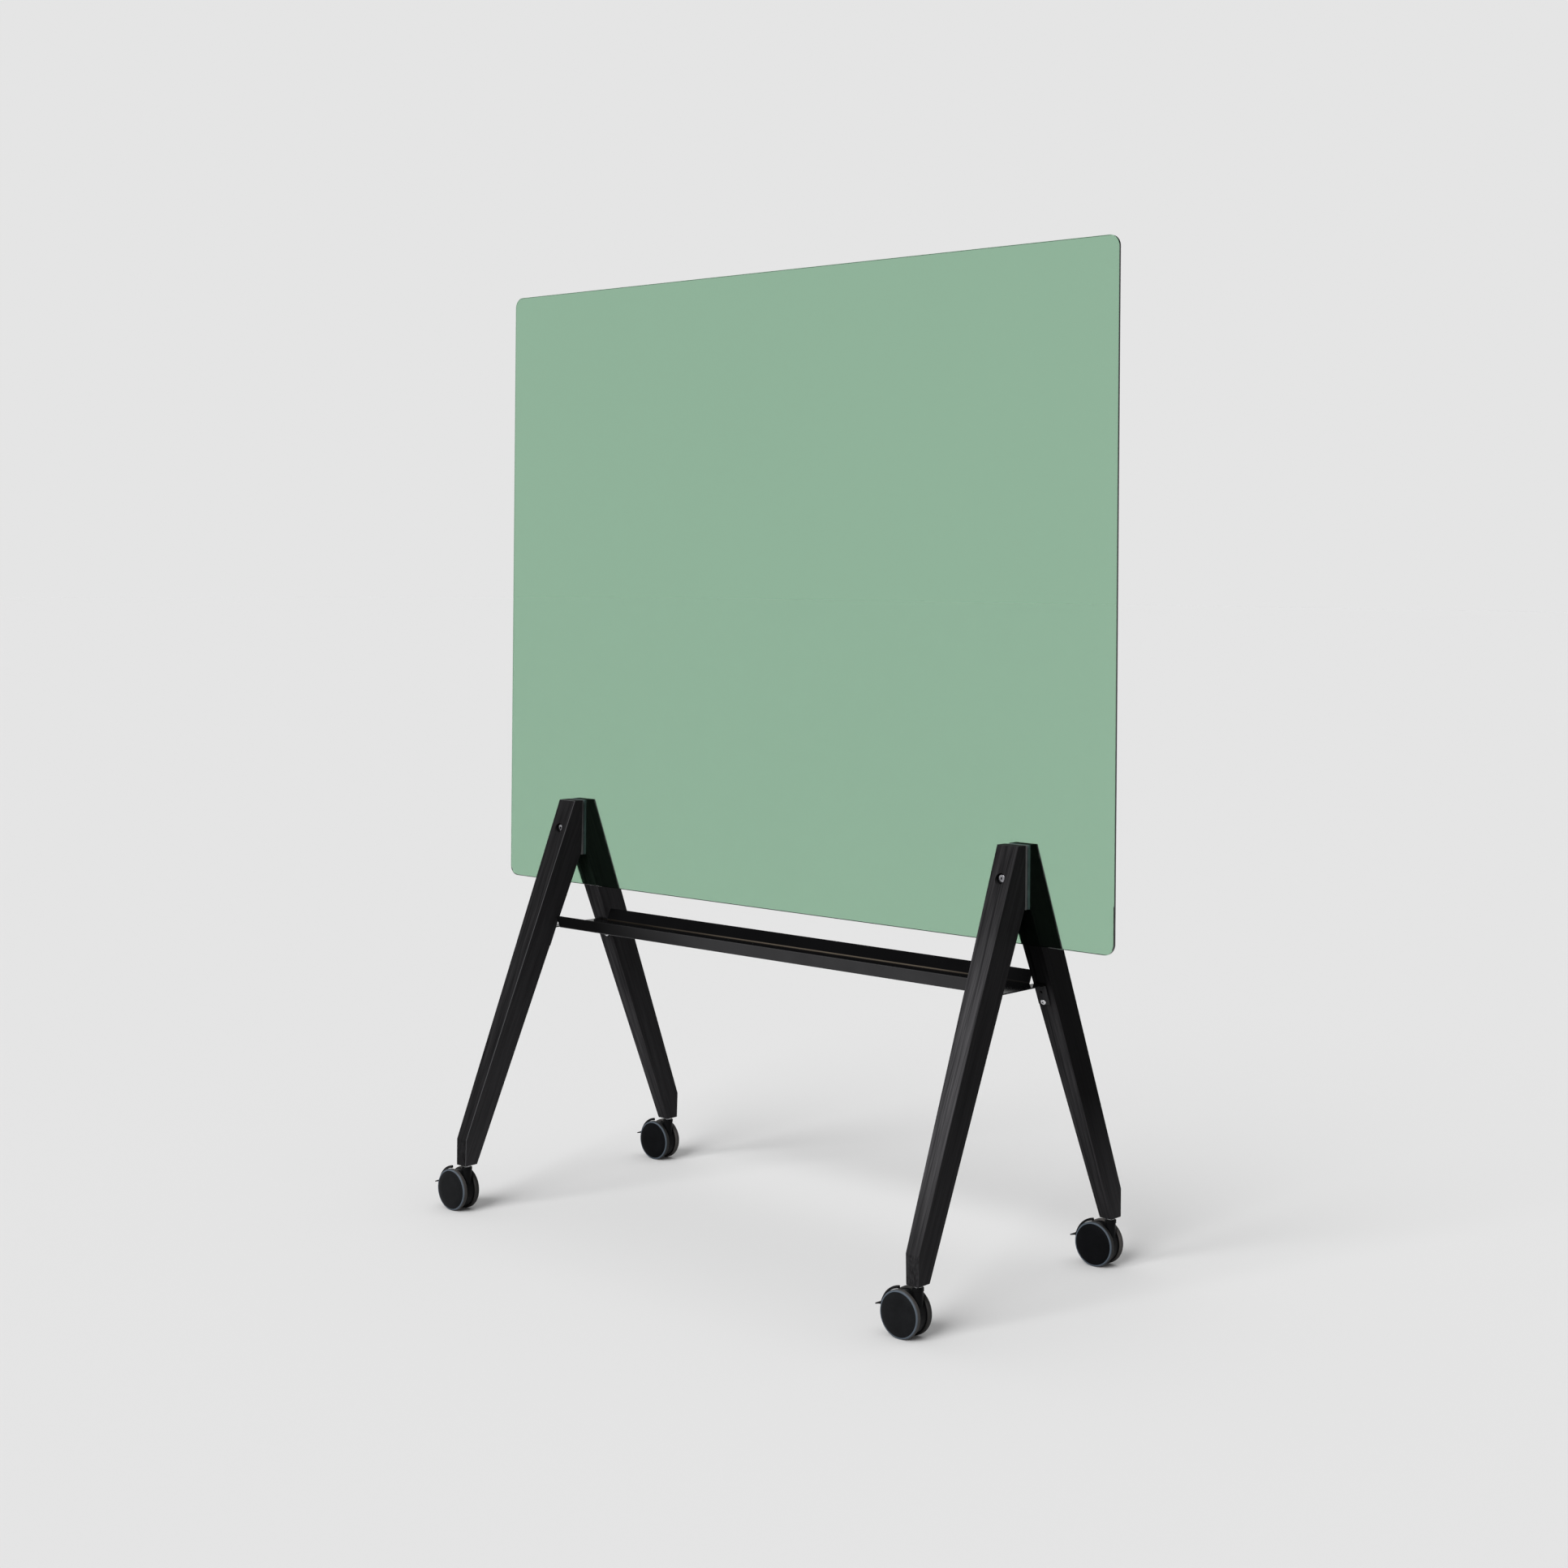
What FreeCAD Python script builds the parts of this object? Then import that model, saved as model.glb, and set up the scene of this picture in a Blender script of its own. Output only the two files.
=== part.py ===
"""Glass whiteboard on two wooden A-frames with a marker tray and four braked twin-wheel castors.

Millimetres. X runs along the glass, Y from front to back, Z up.
The origin is on the floor, below the middle of the glass.
"""
import FreeCAD, Part
import math
import os
from FreeCAD import Vector

# Glass pane
PANE_WIDTH = 1500.0
PANE_HEIGHT = 1200.0
PANE_THICKNESS = 6.0
PANE_CORNER_RADIUS = 20.0
PANE_EDGE_CHAMFER = 0.8
PANE_FLOOR_HEIGHT = 612.0  # lower edge of the glass above the floor

# Legs: widths run along X, depths along Y
LEG_INSET = 177.0  # upright outer side face, from the end of the glass
LEG_TOP_WIDTH = 45.0
LEG_FOOT_WIDTH = 26.0
LEG_TOP_DEPTH = 22.0
LEG_TOP_RISE = 170.0  # top of the legs above the lower edge of the glass
LEG_CLAMP_HEIGHT = 104.0  # upright face that bears on the pad
LEG_EDGE_RADIUS = 1.5
FOOT_REACH = 292.0  # outermost face of the foot, from the middle of the glass
FOOT_DEPTH = 29.5
FOOT_FLAT_HEIGHT = 51.0

# Clamp: pads, bolt, nut and the bush in the glass
PAD_THICKNESS = 5.0
PAD_HEIGHT = 110.0
BOLT_DIAMETER = 8.0
BOLT_HEAD_DIAMETER = 14.0
BOLT_HEAD_THICKNESS = 4.0
BOLT_SEAT_DEPTH = 9.8  # seat of the head below the leg's outer face, on the bolt's axis
COUNTERBORE_DIAMETER = 19.0
HEX_SOCKET_WIDTH = 5.0
HEX_SOCKET_DEPTH = 2.5
NUT_SLEEVE_DIAMETER = 10.5
NUT_SETBACK = 4.0  # inner end of the sleeve behind the leg's clamp face
THREAD_LENGTH = 20.0  # thread engaged in the nut
THREAD_RUN_OUT = 3.0
BUSH_WALL = 3.4
HEAD_EDGE_RADIUS = 0.8

# Marker tray
TRAY_SHEET = 2.0
TRAY_DROP = 81.0  # underside of the tray below the lower edge of the glass
TRAY_HALF_DEPTH = 66.0  # corner of floor and wall, from the middle of the glass
TRAY_DEPTH = 24.5  # height of the walls over the tray's underside
TRAY_FLARE = 22.5  # degrees
TRAY_BEND_RADIUS = 2.0  # inside the bend
WALL_END_GAP = 7.0  # from the tab's edge to the wall's end
WALL_CORNER_RADIUS = 3.0
BEND_RELIEF = 3.0
TAB_WIDTH = 23.5
TAB_INSET = 1.0  # tab's edge from the leg's tapered side, level with the screw
TAB_SCREW_DROP = 34.0  # along the leg, below the tray's top face
TAB_SPARE_DROP = 14.5
TAB_END_LIP = 0.4  # end of the tab beyond its screw's head
TAB_SPARE_DIAMETER = 5.0
SCREW_DIAMETER = 6.0
SCREW_LENGTH = 20.0
SCREW_HEAD_DIAMETER = 10.5
SCREW_HEAD_THICKNESS = 3.3
SCREW_DOME_RADIUS = 2.7
SCREW_SOCKET_WIDTH = 4.0
SCREW_SOCKET_DEPTH = 1.9
INSERT_WALL = 1.5
INSERT_LENGTH = 14.0

# Castors
WHEEL_DIAMETER = 80.0
WHEEL_WIDTH = 10.0
WHEEL_CROWN = 2.2  # dome of the disc beyond the tread
WHEEL_CAP_DIAMETER = 48.0  # flat middle of the dome
WHEEL_RECESS = 5.0
WHEEL_RIM_WALL = 2.5
HUB_DIAMETER = 16.0
TREAD_THICKNESS = 3.4
TREAD_SHOULDER = 3.2
HOOD_WIDTH = 18.0
HOOD_INSET = 4.0  # hood's rim inside the tread
HOOD_EDGE_RADIUS = 1.0
CASTOR_TRAIL = 24.0  # axle behind the stem
AXLE_DIAMETER = 8.0
AXLE_END_WALL = 3.0  # disc left beyond the end of the axle
BOSS_COLLAR_DIAMETER = 21.0
BOSS_RISE = 6.0  # top of the boss above the wheels
STEM_DIAMETER = 10.0
STEM_REACH = 28.0  # stem inside the foot
STEM_ROOT = 30.0  # stem inside the boss
STEM_COLLAR_DIAMETER = 14.0
STEM_COLLAR_HEIGHT = 2.5
SOCKET_WALL = 1.5
SOCKET_LENGTH = 32.0
SOCKET_FLANGE_DIAMETER = 18.0
SOCKET_FLANGE_THICKNESS = 1.5

# Brake lever: angles are about the axle, from +X towards +Z
LEVER_WIDTH = 29.0
LEVER_THICKNESS = 2.4
LEVER_START_ANGLE = 150.0
LEVER_END_ANGLE = 172.0
LEVER_ARM_WIDTH = 4.5  # narrow arm up one side of the plate
LEVER_ARM_ANGLE = 95.0  # free end of the arm
LEVER_ARM_RISE = 2.4  # outer face of the arm's free end, further out than its root
LEVER_ARM_STEP = 0.4  # outer face of the arm's root, inside the plate's
LEVER_ARM_ROOT = 4.0  # degrees of the arm inside the plate
LEVER_TIP_REACH = 15.5  # tip beyond the tread
LEVER_TIP_ANGLE = 174.0
LEVER_TIP_THICKNESS = 2.0
LEVER_BEAK_ANGLE = 9.0  # part of the arc that the beak grows from
LEVER_WEB_WIDTH = 7.0
LEVER_WEB_ANGLE = 22.0
LEVER_BOSS_DIAMETER = 10.0
LEVER_PIN_DIAMETER = 4.0
LEVER_PIN_INSET = 8.2  # pin inside the hood's rim
LEVER_PIN_ANGLE = 161.5
LEVER_TRAVEL = 10.5  # degrees, the tip moves down

# Clearances
BOLT_CLEARANCE = 0.3
SCREW_CLEARANCE = 0.3
FIT_CLEARANCE = 0.05  # threads, pins, bearings and pressed sleeves
TREAD_GAP = 0.1
SIDE_CLEARANCE = 1.0  # wheel beside hood
BOSS_CLEARANCE = 0.5  # boss and its collar beside and above the wheels
WEB_CLEARANCE = 0.5
LEVER_CLEARANCE = 1.4  # lever over tread
LEVER_ARM_CLEARANCE = 0.6  # its arm over tread, which the brake lifts
HOLE_BOTTOM_CLEARANCE = 4.0
CUT_OVERRUN = 8.0  # cutters and blanks run past what they trim

# Heights and faces that follow from the sizes above
WHEEL_RADIUS = WHEEL_DIAMETER / 2
BOSS_TOP = WHEEL_DIAMETER + BOSS_RISE
FOOT_Z = BOSS_TOP + STEM_COLLAR_HEIGHT + SOCKET_FLANGE_THICKNESS
LEG_SIDE_X = PANE_WIDTH / 2 - LEG_INSET
LEG_TOP_Z = PANE_FLOOR_HEIGHT + LEG_TOP_RISE
CLAMP_Y = PANE_THICKNESS / 2 + PAD_THICKNESS
BREAK_Z = LEG_TOP_Z - LEG_CLAMP_HEIGHT
FOOT_INNER_Y = FOOT_REACH - FOOT_DEPTH
LEG_INNER_SLOPE = (FOOT_INNER_Y - CLAMP_Y) / (BREAK_Z - FOOT_Z)
LEG_OUTER_SLOPE = (FOOT_REACH - CLAMP_Y - LEG_TOP_DEPTH) / (LEG_TOP_Z - FOOT_Z - FOOT_FLAT_HEIGHT)
LEG_ANGLE = math.degrees(math.atan(LEG_INNER_SLOPE))
PAD_BOTTOM_Z = LEG_TOP_Z - PAD_HEIGHT
BOLT_Z = LEG_TOP_Z - PAD_HEIGHT / 2
TRAY_BOTTOM_Z = PANE_FLOOR_HEIGHT - TRAY_DROP
TRAY_TOP_Z = TRAY_BOTTOM_Z + TRAY_SHEET
TRAY_OUTER_BEND = TRAY_BEND_RADIUS + TRAY_SHEET
STEM_Y = FOOT_REACH - FOOT_DEPTH / 2

FRONT, REAR = -1, 1
LEFT, RIGHT = -1, 1
CORNERS = {
    "front_left": (LEFT, FRONT),
    "front_right": (RIGHT, FRONT),
    "rear_left": (LEFT, REAR),
    "rear_right": (RIGHT, REAR),
}
X_AXIS, Y_AXIS, Z_AXIS = Vector(1, 0, 0), Vector(0, 1, 0), Vector(0, 0, 1)


def leg_inner_x(z):
    """Tapered side face of a right leg, the one that looks at the tray."""
    taper = (LEG_TOP_WIDTH - LEG_FOOT_WIDTH) / (LEG_TOP_Z - FOOT_Z)
    return LEG_SIDE_X - LEG_TOP_WIDTH + taper * (LEG_TOP_Z - z)


def leg_inner_y(z):
    """Sloping inner face of a rear leg."""
    return CLAMP_Y + LEG_INNER_SLOPE * (BREAK_Z - z)


def leg_outer_y(z):
    """Sloping outer face of a rear leg."""
    return CLAMP_Y + LEG_TOP_DEPTH + LEG_OUTER_SLOPE * (LEG_TOP_Z - z)


BOLT_X = (leg_inner_x(BOLT_Z) + LEG_SIDE_X) / 2
BOLT_SEAT_Y = leg_outer_y(BOLT_Z) - BOLT_SEAT_DEPTH
PAD_INNER_X = leg_inner_x(PAD_BOTTOM_Z)
STEM_X = (leg_inner_x(FOOT_Z) + LEG_SIDE_X) / 2
NUT_END_Y = CLAMP_Y + NUT_SETBACK
SLOPE_DOWN = Vector(0, math.sin(math.radians(LEG_ANGLE)), -math.cos(math.radians(LEG_ANGLE)))
INTO_LEG = Vector(0, math.cos(math.radians(LEG_ANGLE)), math.sin(math.radians(LEG_ANGLE)))
TAB_CORNER = Vector(0, leg_inner_y(TRAY_TOP_Z), TRAY_TOP_Z)
TAB_SCREW_Z = TRAY_TOP_Z - TAB_SCREW_DROP * math.cos(math.radians(LEG_ANGLE))
TAB_INNER_X = leg_inner_x(TAB_SCREW_Z) + TAB_INSET
TAB_X = TAB_INNER_X + TAB_WIDTH / 2
WALL_END_X = TAB_INNER_X - WALL_END_GAP


def rounded_face(points, radii):
    """Flat face through the points, with a tangent arc of its own radius at each corner."""
    count = len(points)
    edges = []
    starts, ends, middles = [], [], []
    for index, corner in enumerate(points):
        radius = radii[index]
        to_last = (points[index - 1] - corner).normalize()
        to_next = (points[(index + 1) % count] - corner).normalize()
        half = math.acos(max(-1.0, min(1.0, to_last.dot(to_next)))) / 2
        setback = radius / math.tan(half)
        bisector = (to_last + to_next).normalize()
        starts.append(corner + to_last * setback)
        ends.append(corner + to_next * setback)
        middles.append(corner + bisector * (radius / math.sin(half) - radius))
    for index in range(count):
        if radii[index] > 0:
            edges.append(Part.Arc(starts[index], middles[index], ends[index]).toShape())
        following = (index + 1) % count
        if (starts[following] - ends[index]).Length > 1e-6:
            edges.append(Part.LineSegment(ends[index], starts[following]).toShape())
    return Part.Face(Part.Wire(edges))


def prism(points, along, radii=None):
    """Solid swept straight from a flat outline, whose corners may be rounded."""
    return rounded_face(points, radii or [0.0] * len(points)).extrude(along)


def cylinder(diameter, start, direction, length):
    """Round bar from its start point."""
    return Part.makeCylinder(diameter / 2, length, start, direction)


def square_to(direction):
    """Unit vector at a right angle to a direction that doesn't run along X."""
    return direction.cross(X_AXIS).normalize()


def hexagon(width, start, direction, length):
    """Hexagonal bar, measured across its flats, from its start point."""
    side = square_to(direction)
    other = direction.cross(side)
    radius = width / math.sqrt(3)
    turns = [math.radians(60 * step) for step in range(6)]
    return prism([start + side * (radius * math.cos(t)) + other * (radius * math.sin(t)) for t in turns],
                 direction * length)


def turned(profile, centre, direction, radii=None):
    """Solid of revolution from (radius, height) points; height runs along the direction."""
    side = square_to(direction)
    points = [centre + side * radius + direction * height for radius, height in profile]
    return rounded_face(points, radii or [0.0] * len(points)).revolve(centre, direction, 360)


def mirrored(shape, side, row):
    """Copy of a right rear shape for the given side and row."""
    if side == LEFT:
        shape = shape.mirror(Vector(), X_AXIS)
    if row == FRONT:
        shape = shape.mirror(Vector(), Y_AXIS)
    return shape


def on_slope(x, drop):
    """Point on a right rear leg's inner face, a distance along the slope below the tray's top face."""
    return TAB_CORNER + SLOPE_DOWN * drop + X_AXIS * x


def glass_pane():
    """Pane with rounded corners, eased edges and a hole for each clamp bolt."""
    half = PANE_WIDTH / 2
    bottom, top = PANE_FLOOR_HEIGHT, PANE_FLOOR_HEIGHT + PANE_HEIGHT
    front = -PANE_THICKNESS / 2
    outline = [Vector(x, front, z) for x, z in ((-half, bottom), (half, bottom), (half, top), (-half, top))]
    pane = prism(outline, Y_AXIS * PANE_THICKNESS, [PANE_CORNER_RADIUS] * 4)
    pane = pane.makeChamfer(PANE_EDGE_CHAMFER, [e for e in pane.Edges if abs(e.BoundBox.YLength) < 1e-6])
    for side in (LEFT, RIGHT):
        pane = pane.cut(cylinder(bush_diameter() + 2 * BOLT_CLEARANCE, Vector(side * BOLT_X, front, BOLT_Z),
                                 Y_AXIS, PANE_THICKNESS))
    return pane


def leg():
    """Right rear leg: a slanted bar, tapered on its inner side, with its holes."""
    profile = [
        (CLAMP_Y, LEG_TOP_Z),
        (CLAMP_Y + LEG_TOP_DEPTH, LEG_TOP_Z),
        (FOOT_REACH, FOOT_Z + FOOT_FLAT_HEIGHT),
        (FOOT_REACH, FOOT_Z),
        (FOOT_INNER_Y, FOOT_Z),
        (CLAMP_Y, BREAK_Z),
    ]
    bar = prism([Vector(0, y, z) for y, z in profile], X_AXIS * LEG_SIDE_X)
    width = [
        (LEG_SIDE_X - LEG_TOP_WIDTH, LEG_TOP_Z),
        (LEG_SIDE_X, LEG_TOP_Z),
        (LEG_SIDE_X, FOOT_Z),
        (LEG_SIDE_X - LEG_FOOT_WIDTH, FOOT_Z),
    ]
    bar = bar.common(prism([Vector(x, 0, z) for x, z in width], Y_AXIS * FOOT_REACH))
    exposed = [e for e in bar.Edges if e.BoundBox.YMin > CLAMP_Y + 1e-6]
    bar = bar.makeFillet(LEG_EDGE_RADIUS, exposed)
    return bar.cut(Part.makeCompound([insert_hole(), socket_hole()]))


def bolted_leg(row):
    """Right leg of a row: the front one passes the bolt, the rear one the nut's sleeve."""
    bore = (BOLT_DIAMETER if row == FRONT else NUT_SLEEVE_DIAMETER) + 2 * BOLT_CLEARANCE
    through = cylinder(bore, Vector(BOLT_X, 0, BOLT_Z), Y_AXIS, FOOT_REACH)
    counterbore = cylinder(COUNTERBORE_DIAMETER, Vector(BOLT_X, BOLT_SEAT_Y, BOLT_Z), Y_AXIS, FOOT_REACH)
    return mirrored(leg().cut(Part.makeCompound([through.fuse(counterbore)])), RIGHT, row)


def insert_hole():
    """Blind hole for the threaded insert behind the tray's tab."""
    depth = SCREW_LENGTH + HOLE_BOTTOM_CLEARANCE
    return cylinder(insert_diameter() + 2 * FIT_CLEARANCE, on_slope(TAB_X, TAB_SCREW_DROP), INTO_LEG, depth)


def socket_hole():
    """Blind hole for the castor's socket in the foot."""
    depth = SOCKET_LENGTH + HOLE_BOTTOM_CLEARANCE
    return cylinder(socket_diameter() + 2 * FIT_CLEARANCE, Vector(STEM_X, STEM_Y, FOOT_Z), Z_AXIS, depth)


def bush_diameter():
    """Outside of the bush in the glass."""
    return BOLT_DIAMETER + 2 * BOLT_CLEARANCE + 2 * BUSH_WALL


def insert_diameter():
    """Outside of the threaded insert."""
    return SCREW_DIAMETER + 2 * FIT_CLEARANCE + 2 * INSERT_WALL


def socket_diameter():
    """Outside of the castor's socket."""
    return STEM_DIAMETER + 2 * FIT_CLEARANCE + 2 * SOCKET_WALL


def clamp_pad():
    """Right rear pad between the glass and the leg."""
    pad = Part.makeBox(LEG_SIDE_X - PAD_INNER_X, PAD_THICKNESS, PAD_HEIGHT,
                       Vector(PAD_INNER_X, PANE_THICKNESS / 2, PAD_BOTTOM_Z))
    return pad.cut(cylinder(BOLT_DIAMETER + 2 * BOLT_CLEARANCE, Vector(BOLT_X, 0, BOLT_Z), Y_AXIS, CLAMP_Y))


def round_head(seat, outward):
    """Flat head with an eased rim and a hexagonal socket."""
    head = turned([(0, 0), (BOLT_HEAD_DIAMETER / 2, 0), (BOLT_HEAD_DIAMETER / 2, BOLT_HEAD_THICKNESS),
                   (0, BOLT_HEAD_THICKNESS)], seat, outward, [0, 0, HEAD_EDGE_RADIUS, 0])
    top = seat + outward * BOLT_HEAD_THICKNESS
    return head.cut(hexagon(HEX_SOCKET_WIDTH, top, outward * -1, HEX_SOCKET_DEPTH))


def clamp_bolt():
    """Right bolt, from the seat in the front leg into the nut."""
    seat = Vector(BOLT_X, -BOLT_SEAT_Y, BOLT_Z)
    shank = cylinder(BOLT_DIAMETER, seat, Y_AXIS, BOLT_SEAT_Y + NUT_END_Y + THREAD_LENGTH)
    return shank.fuse(round_head(seat, Y_AXIS * -1)).removeSplitter()


def clamp_nut():
    """Right sleeve nut, seated in the rear leg."""
    seat = Vector(BOLT_X, BOLT_SEAT_Y, BOLT_Z)
    sleeve = cylinder(NUT_SLEEVE_DIAMETER, seat, Y_AXIS * -1, BOLT_SEAT_Y - NUT_END_Y)
    bore = cylinder(BOLT_DIAMETER + 2 * FIT_CLEARANCE, Vector(BOLT_X, NUT_END_Y, BOLT_Z), Y_AXIS,
                    THREAD_LENGTH + THREAD_RUN_OUT)
    return sleeve.fuse(round_head(seat, Y_AXIS)).removeSplitter().cut(bore)


def glass_bush():
    """Right bush that keeps the bolt off the glass."""
    start = Vector(BOLT_X, -PANE_THICKNESS / 2, BOLT_Z)
    bush = cylinder(bush_diameter(), start, Y_AXIS, PANE_THICKNESS)
    return bush.cut(cylinder(BOLT_DIAMETER + 2 * BOLT_CLEARANCE, start, Y_AXIS, PANE_THICKNESS))


def bent_section(x, corner_y, lean, reach, upward):
    """Section of a sheet whose two edges are bent by the same angle, in the YZ plane.

    The corner lies on the outside of the bend. The lean is the edge's angle from upright, outwards.
    """
    turn = math.radians(90 - lean)
    rise = 1 if upward else -1
    outer_z = TRAY_BOTTOM_Z if upward else TRAY_TOP_Z
    inner_z = outer_z + rise * TRAY_SHEET
    inner_y = corner_y - TRAY_SHEET * math.tan(turn / 2)
    along = (math.cos(turn), rise * math.sin(turn))
    across = (-math.sin(turn), rise * math.cos(turn))
    tip = (corner_y + along[0] * reach, outer_z + along[1] * reach)
    inner_tip = (tip[0] + across[0] * TRAY_SHEET, tip[1] + across[1] * TRAY_SHEET)
    half = [(corner_y, outer_z), tip, inner_tip, (inner_y, inner_z)]
    radii = [TRAY_OUTER_BEND, 0, 0, TRAY_BEND_RADIUS]
    points = half + [(-y, z) for y, z in reversed(half)]
    return [Vector(x, y, z) for y, z in points], radii + radii[::-1]


def tray_walls():
    """Floor between the A-frames with both flared walls, whose upper corners are rounded."""
    flare = math.radians(TRAY_FLARE)
    reach = (TRAY_DEPTH - TRAY_SHEET * math.sin(flare)) / math.cos(flare)
    blank_end = WALL_END_X + CUT_OVERRUN
    points, radii = bent_section(-blank_end, TRAY_HALF_DEPTH, TRAY_FLARE, reach, True)
    channel = prism(points, X_AXIS * (2 * blank_end), radii)
    top = TRAY_BOTTOM_Z + TRAY_DEPTH
    depth = TRAY_HALF_DEPTH + TRAY_DEPTH
    keep = prism([
        Vector(-WALL_END_X, -depth, TRAY_BOTTOM_Z),
        Vector(WALL_END_X, -depth, TRAY_BOTTOM_Z),
        Vector(WALL_END_X, -depth, top),
        Vector(-WALL_END_X, -depth, top),
    ], Y_AXIS * (2 * depth), [0, 0, WALL_CORNER_RADIUS, WALL_CORNER_RADIUS])
    return channel.common(keep)


def tray_tabs():
    """Right end of the floor with its two tabs, each cut square below its screw."""
    reach = TAB_SCREW_DROP + SCREW_HEAD_DIAMETER / 2 + TAB_END_LIP
    points, radii = bent_section(TAB_INNER_X, TAB_CORNER.y, LEG_ANGLE, reach, False)
    strip = prism(points, X_AXIS * TAB_WIDTH, radii)
    holes = (
        (TAB_SCREW_DROP, SCREW_DIAMETER + 2 * SCREW_CLEARANCE),
        (TAB_SPARE_DROP, TAB_SPARE_DIAMETER),
    )
    for drop, diameter in holes:
        start = on_slope(TAB_X, drop) - INTO_LEG * CUT_OVERRUN
        hole = cylinder(diameter, start, INTO_LEG, 2 * CUT_OVERRUN)
        for row in (FRONT, REAR):
            strip = strip.cut(mirrored(hole, RIGHT, row))
    return strip


def marker_tray():
    """One bent sheet: floor, two walls and four tabs, with a relief beside each bend."""
    neck_half = min(TRAY_HALF_DEPTH, TAB_CORNER.y) - TRAY_OUTER_BEND - BEND_RELIEF
    neck = Part.makeBox(2 * TAB_INNER_X, 2 * neck_half, TRAY_SHEET,
                        Vector(-TAB_INNER_X, -neck_half, TRAY_BOTTOM_Z))
    tabs = tray_tabs()
    return tray_walls().fuse([neck, tabs, mirrored(tabs, LEFT, REAR)]).removeSplitter()


def tray_screw():
    """Right rear screw, its domed head on the tab."""
    seat = on_slope(TAB_X, TAB_SCREW_DROP) - INTO_LEG * TRAY_SHEET
    out = INTO_LEG * -1
    shank = cylinder(SCREW_DIAMETER, seat, INTO_LEG, SCREW_LENGTH)
    rim = SCREW_HEAD_DIAMETER / 2
    head = turned([(0, 0), (rim, 0), (rim, SCREW_HEAD_THICKNESS), (0, SCREW_HEAD_THICKNESS)], seat, out,
                  [0, 0, SCREW_DOME_RADIUS, 0])
    socket = hexagon(SCREW_SOCKET_WIDTH, seat + out * SCREW_HEAD_THICKNESS, INTO_LEG, SCREW_SOCKET_DEPTH)
    return shank.fuse(head).removeSplitter().cut(socket)


def leg_insert():
    """Right rear threaded insert, flush with the leg's inner face."""
    start = on_slope(TAB_X, TAB_SCREW_DROP)
    insert = cylinder(insert_diameter(), start, INTO_LEG, INSERT_LENGTH)
    return insert.cut(cylinder(SCREW_DIAMETER + 2 * FIT_CLEARANCE, start, INTO_LEG, INSERT_LENGTH))


# Castor pieces stand about a stem at the origin, with the axle behind it
AXLE = Vector(-CASTOR_TRAIL, 0, WHEEL_RADIUS)
HOOD_RADIUS = WHEEL_RADIUS - HOOD_INSET
WHEEL_INNER_Y = HOOD_WIDTH / 2 + SIDE_CLEARANCE
LEVER_INNER_RADIUS = WHEEL_RADIUS + LEVER_CLEARANCE
LEVER_OUTER_RADIUS = LEVER_INNER_RADIUS + LEVER_THICKNESS


def about_axle(radius, angle, y=0.0):
    """Point at a radius and an angle about the axle."""
    turn = math.radians(angle)
    return AXLE + Vector(radius * math.cos(turn), y, radius * math.sin(turn))


LEVER_PIN = about_axle(HOOD_RADIUS - LEVER_PIN_INSET, LEVER_PIN_ANGLE)


def socket():
    """Steel sleeve in the foot, with a flange under it."""
    base = Vector(0, 0, FOOT_Z - SOCKET_FLANGE_THICKNESS)
    flange = cylinder(SOCKET_FLANGE_DIAMETER, base, Z_AXIS, SOCKET_FLANGE_THICKNESS)
    sleeve = cylinder(socket_diameter(), base, Z_AXIS, SOCKET_FLANGE_THICKNESS + SOCKET_LENGTH)
    bore = cylinder(STEM_DIAMETER + 2 * FIT_CLEARANCE, base, Z_AXIS, SOCKET_FLANGE_THICKNESS + SOCKET_LENGTH)
    return sleeve.fuse(flange).removeSplitter().cut(bore)


def stem():
    """Swivel pin, fixed in the hood's boss, with a collar under the socket."""
    length = STEM_ROOT + FOOT_Z - BOSS_TOP + STEM_REACH
    pin = turned([(0, 0), (STEM_DIAMETER / 2, 0), (STEM_DIAMETER / 2, length), (0, length)],
                 Vector(0, 0, BOSS_TOP - STEM_ROOT), Z_AXIS, [0, 0, HEAD_EDGE_RADIUS, 0])
    collar = cylinder(STEM_COLLAR_DIAMETER, Vector(0, 0, BOSS_TOP), Z_AXIS, STEM_COLLAR_HEIGHT)
    return pin.fuse(collar).removeSplitter()


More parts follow.
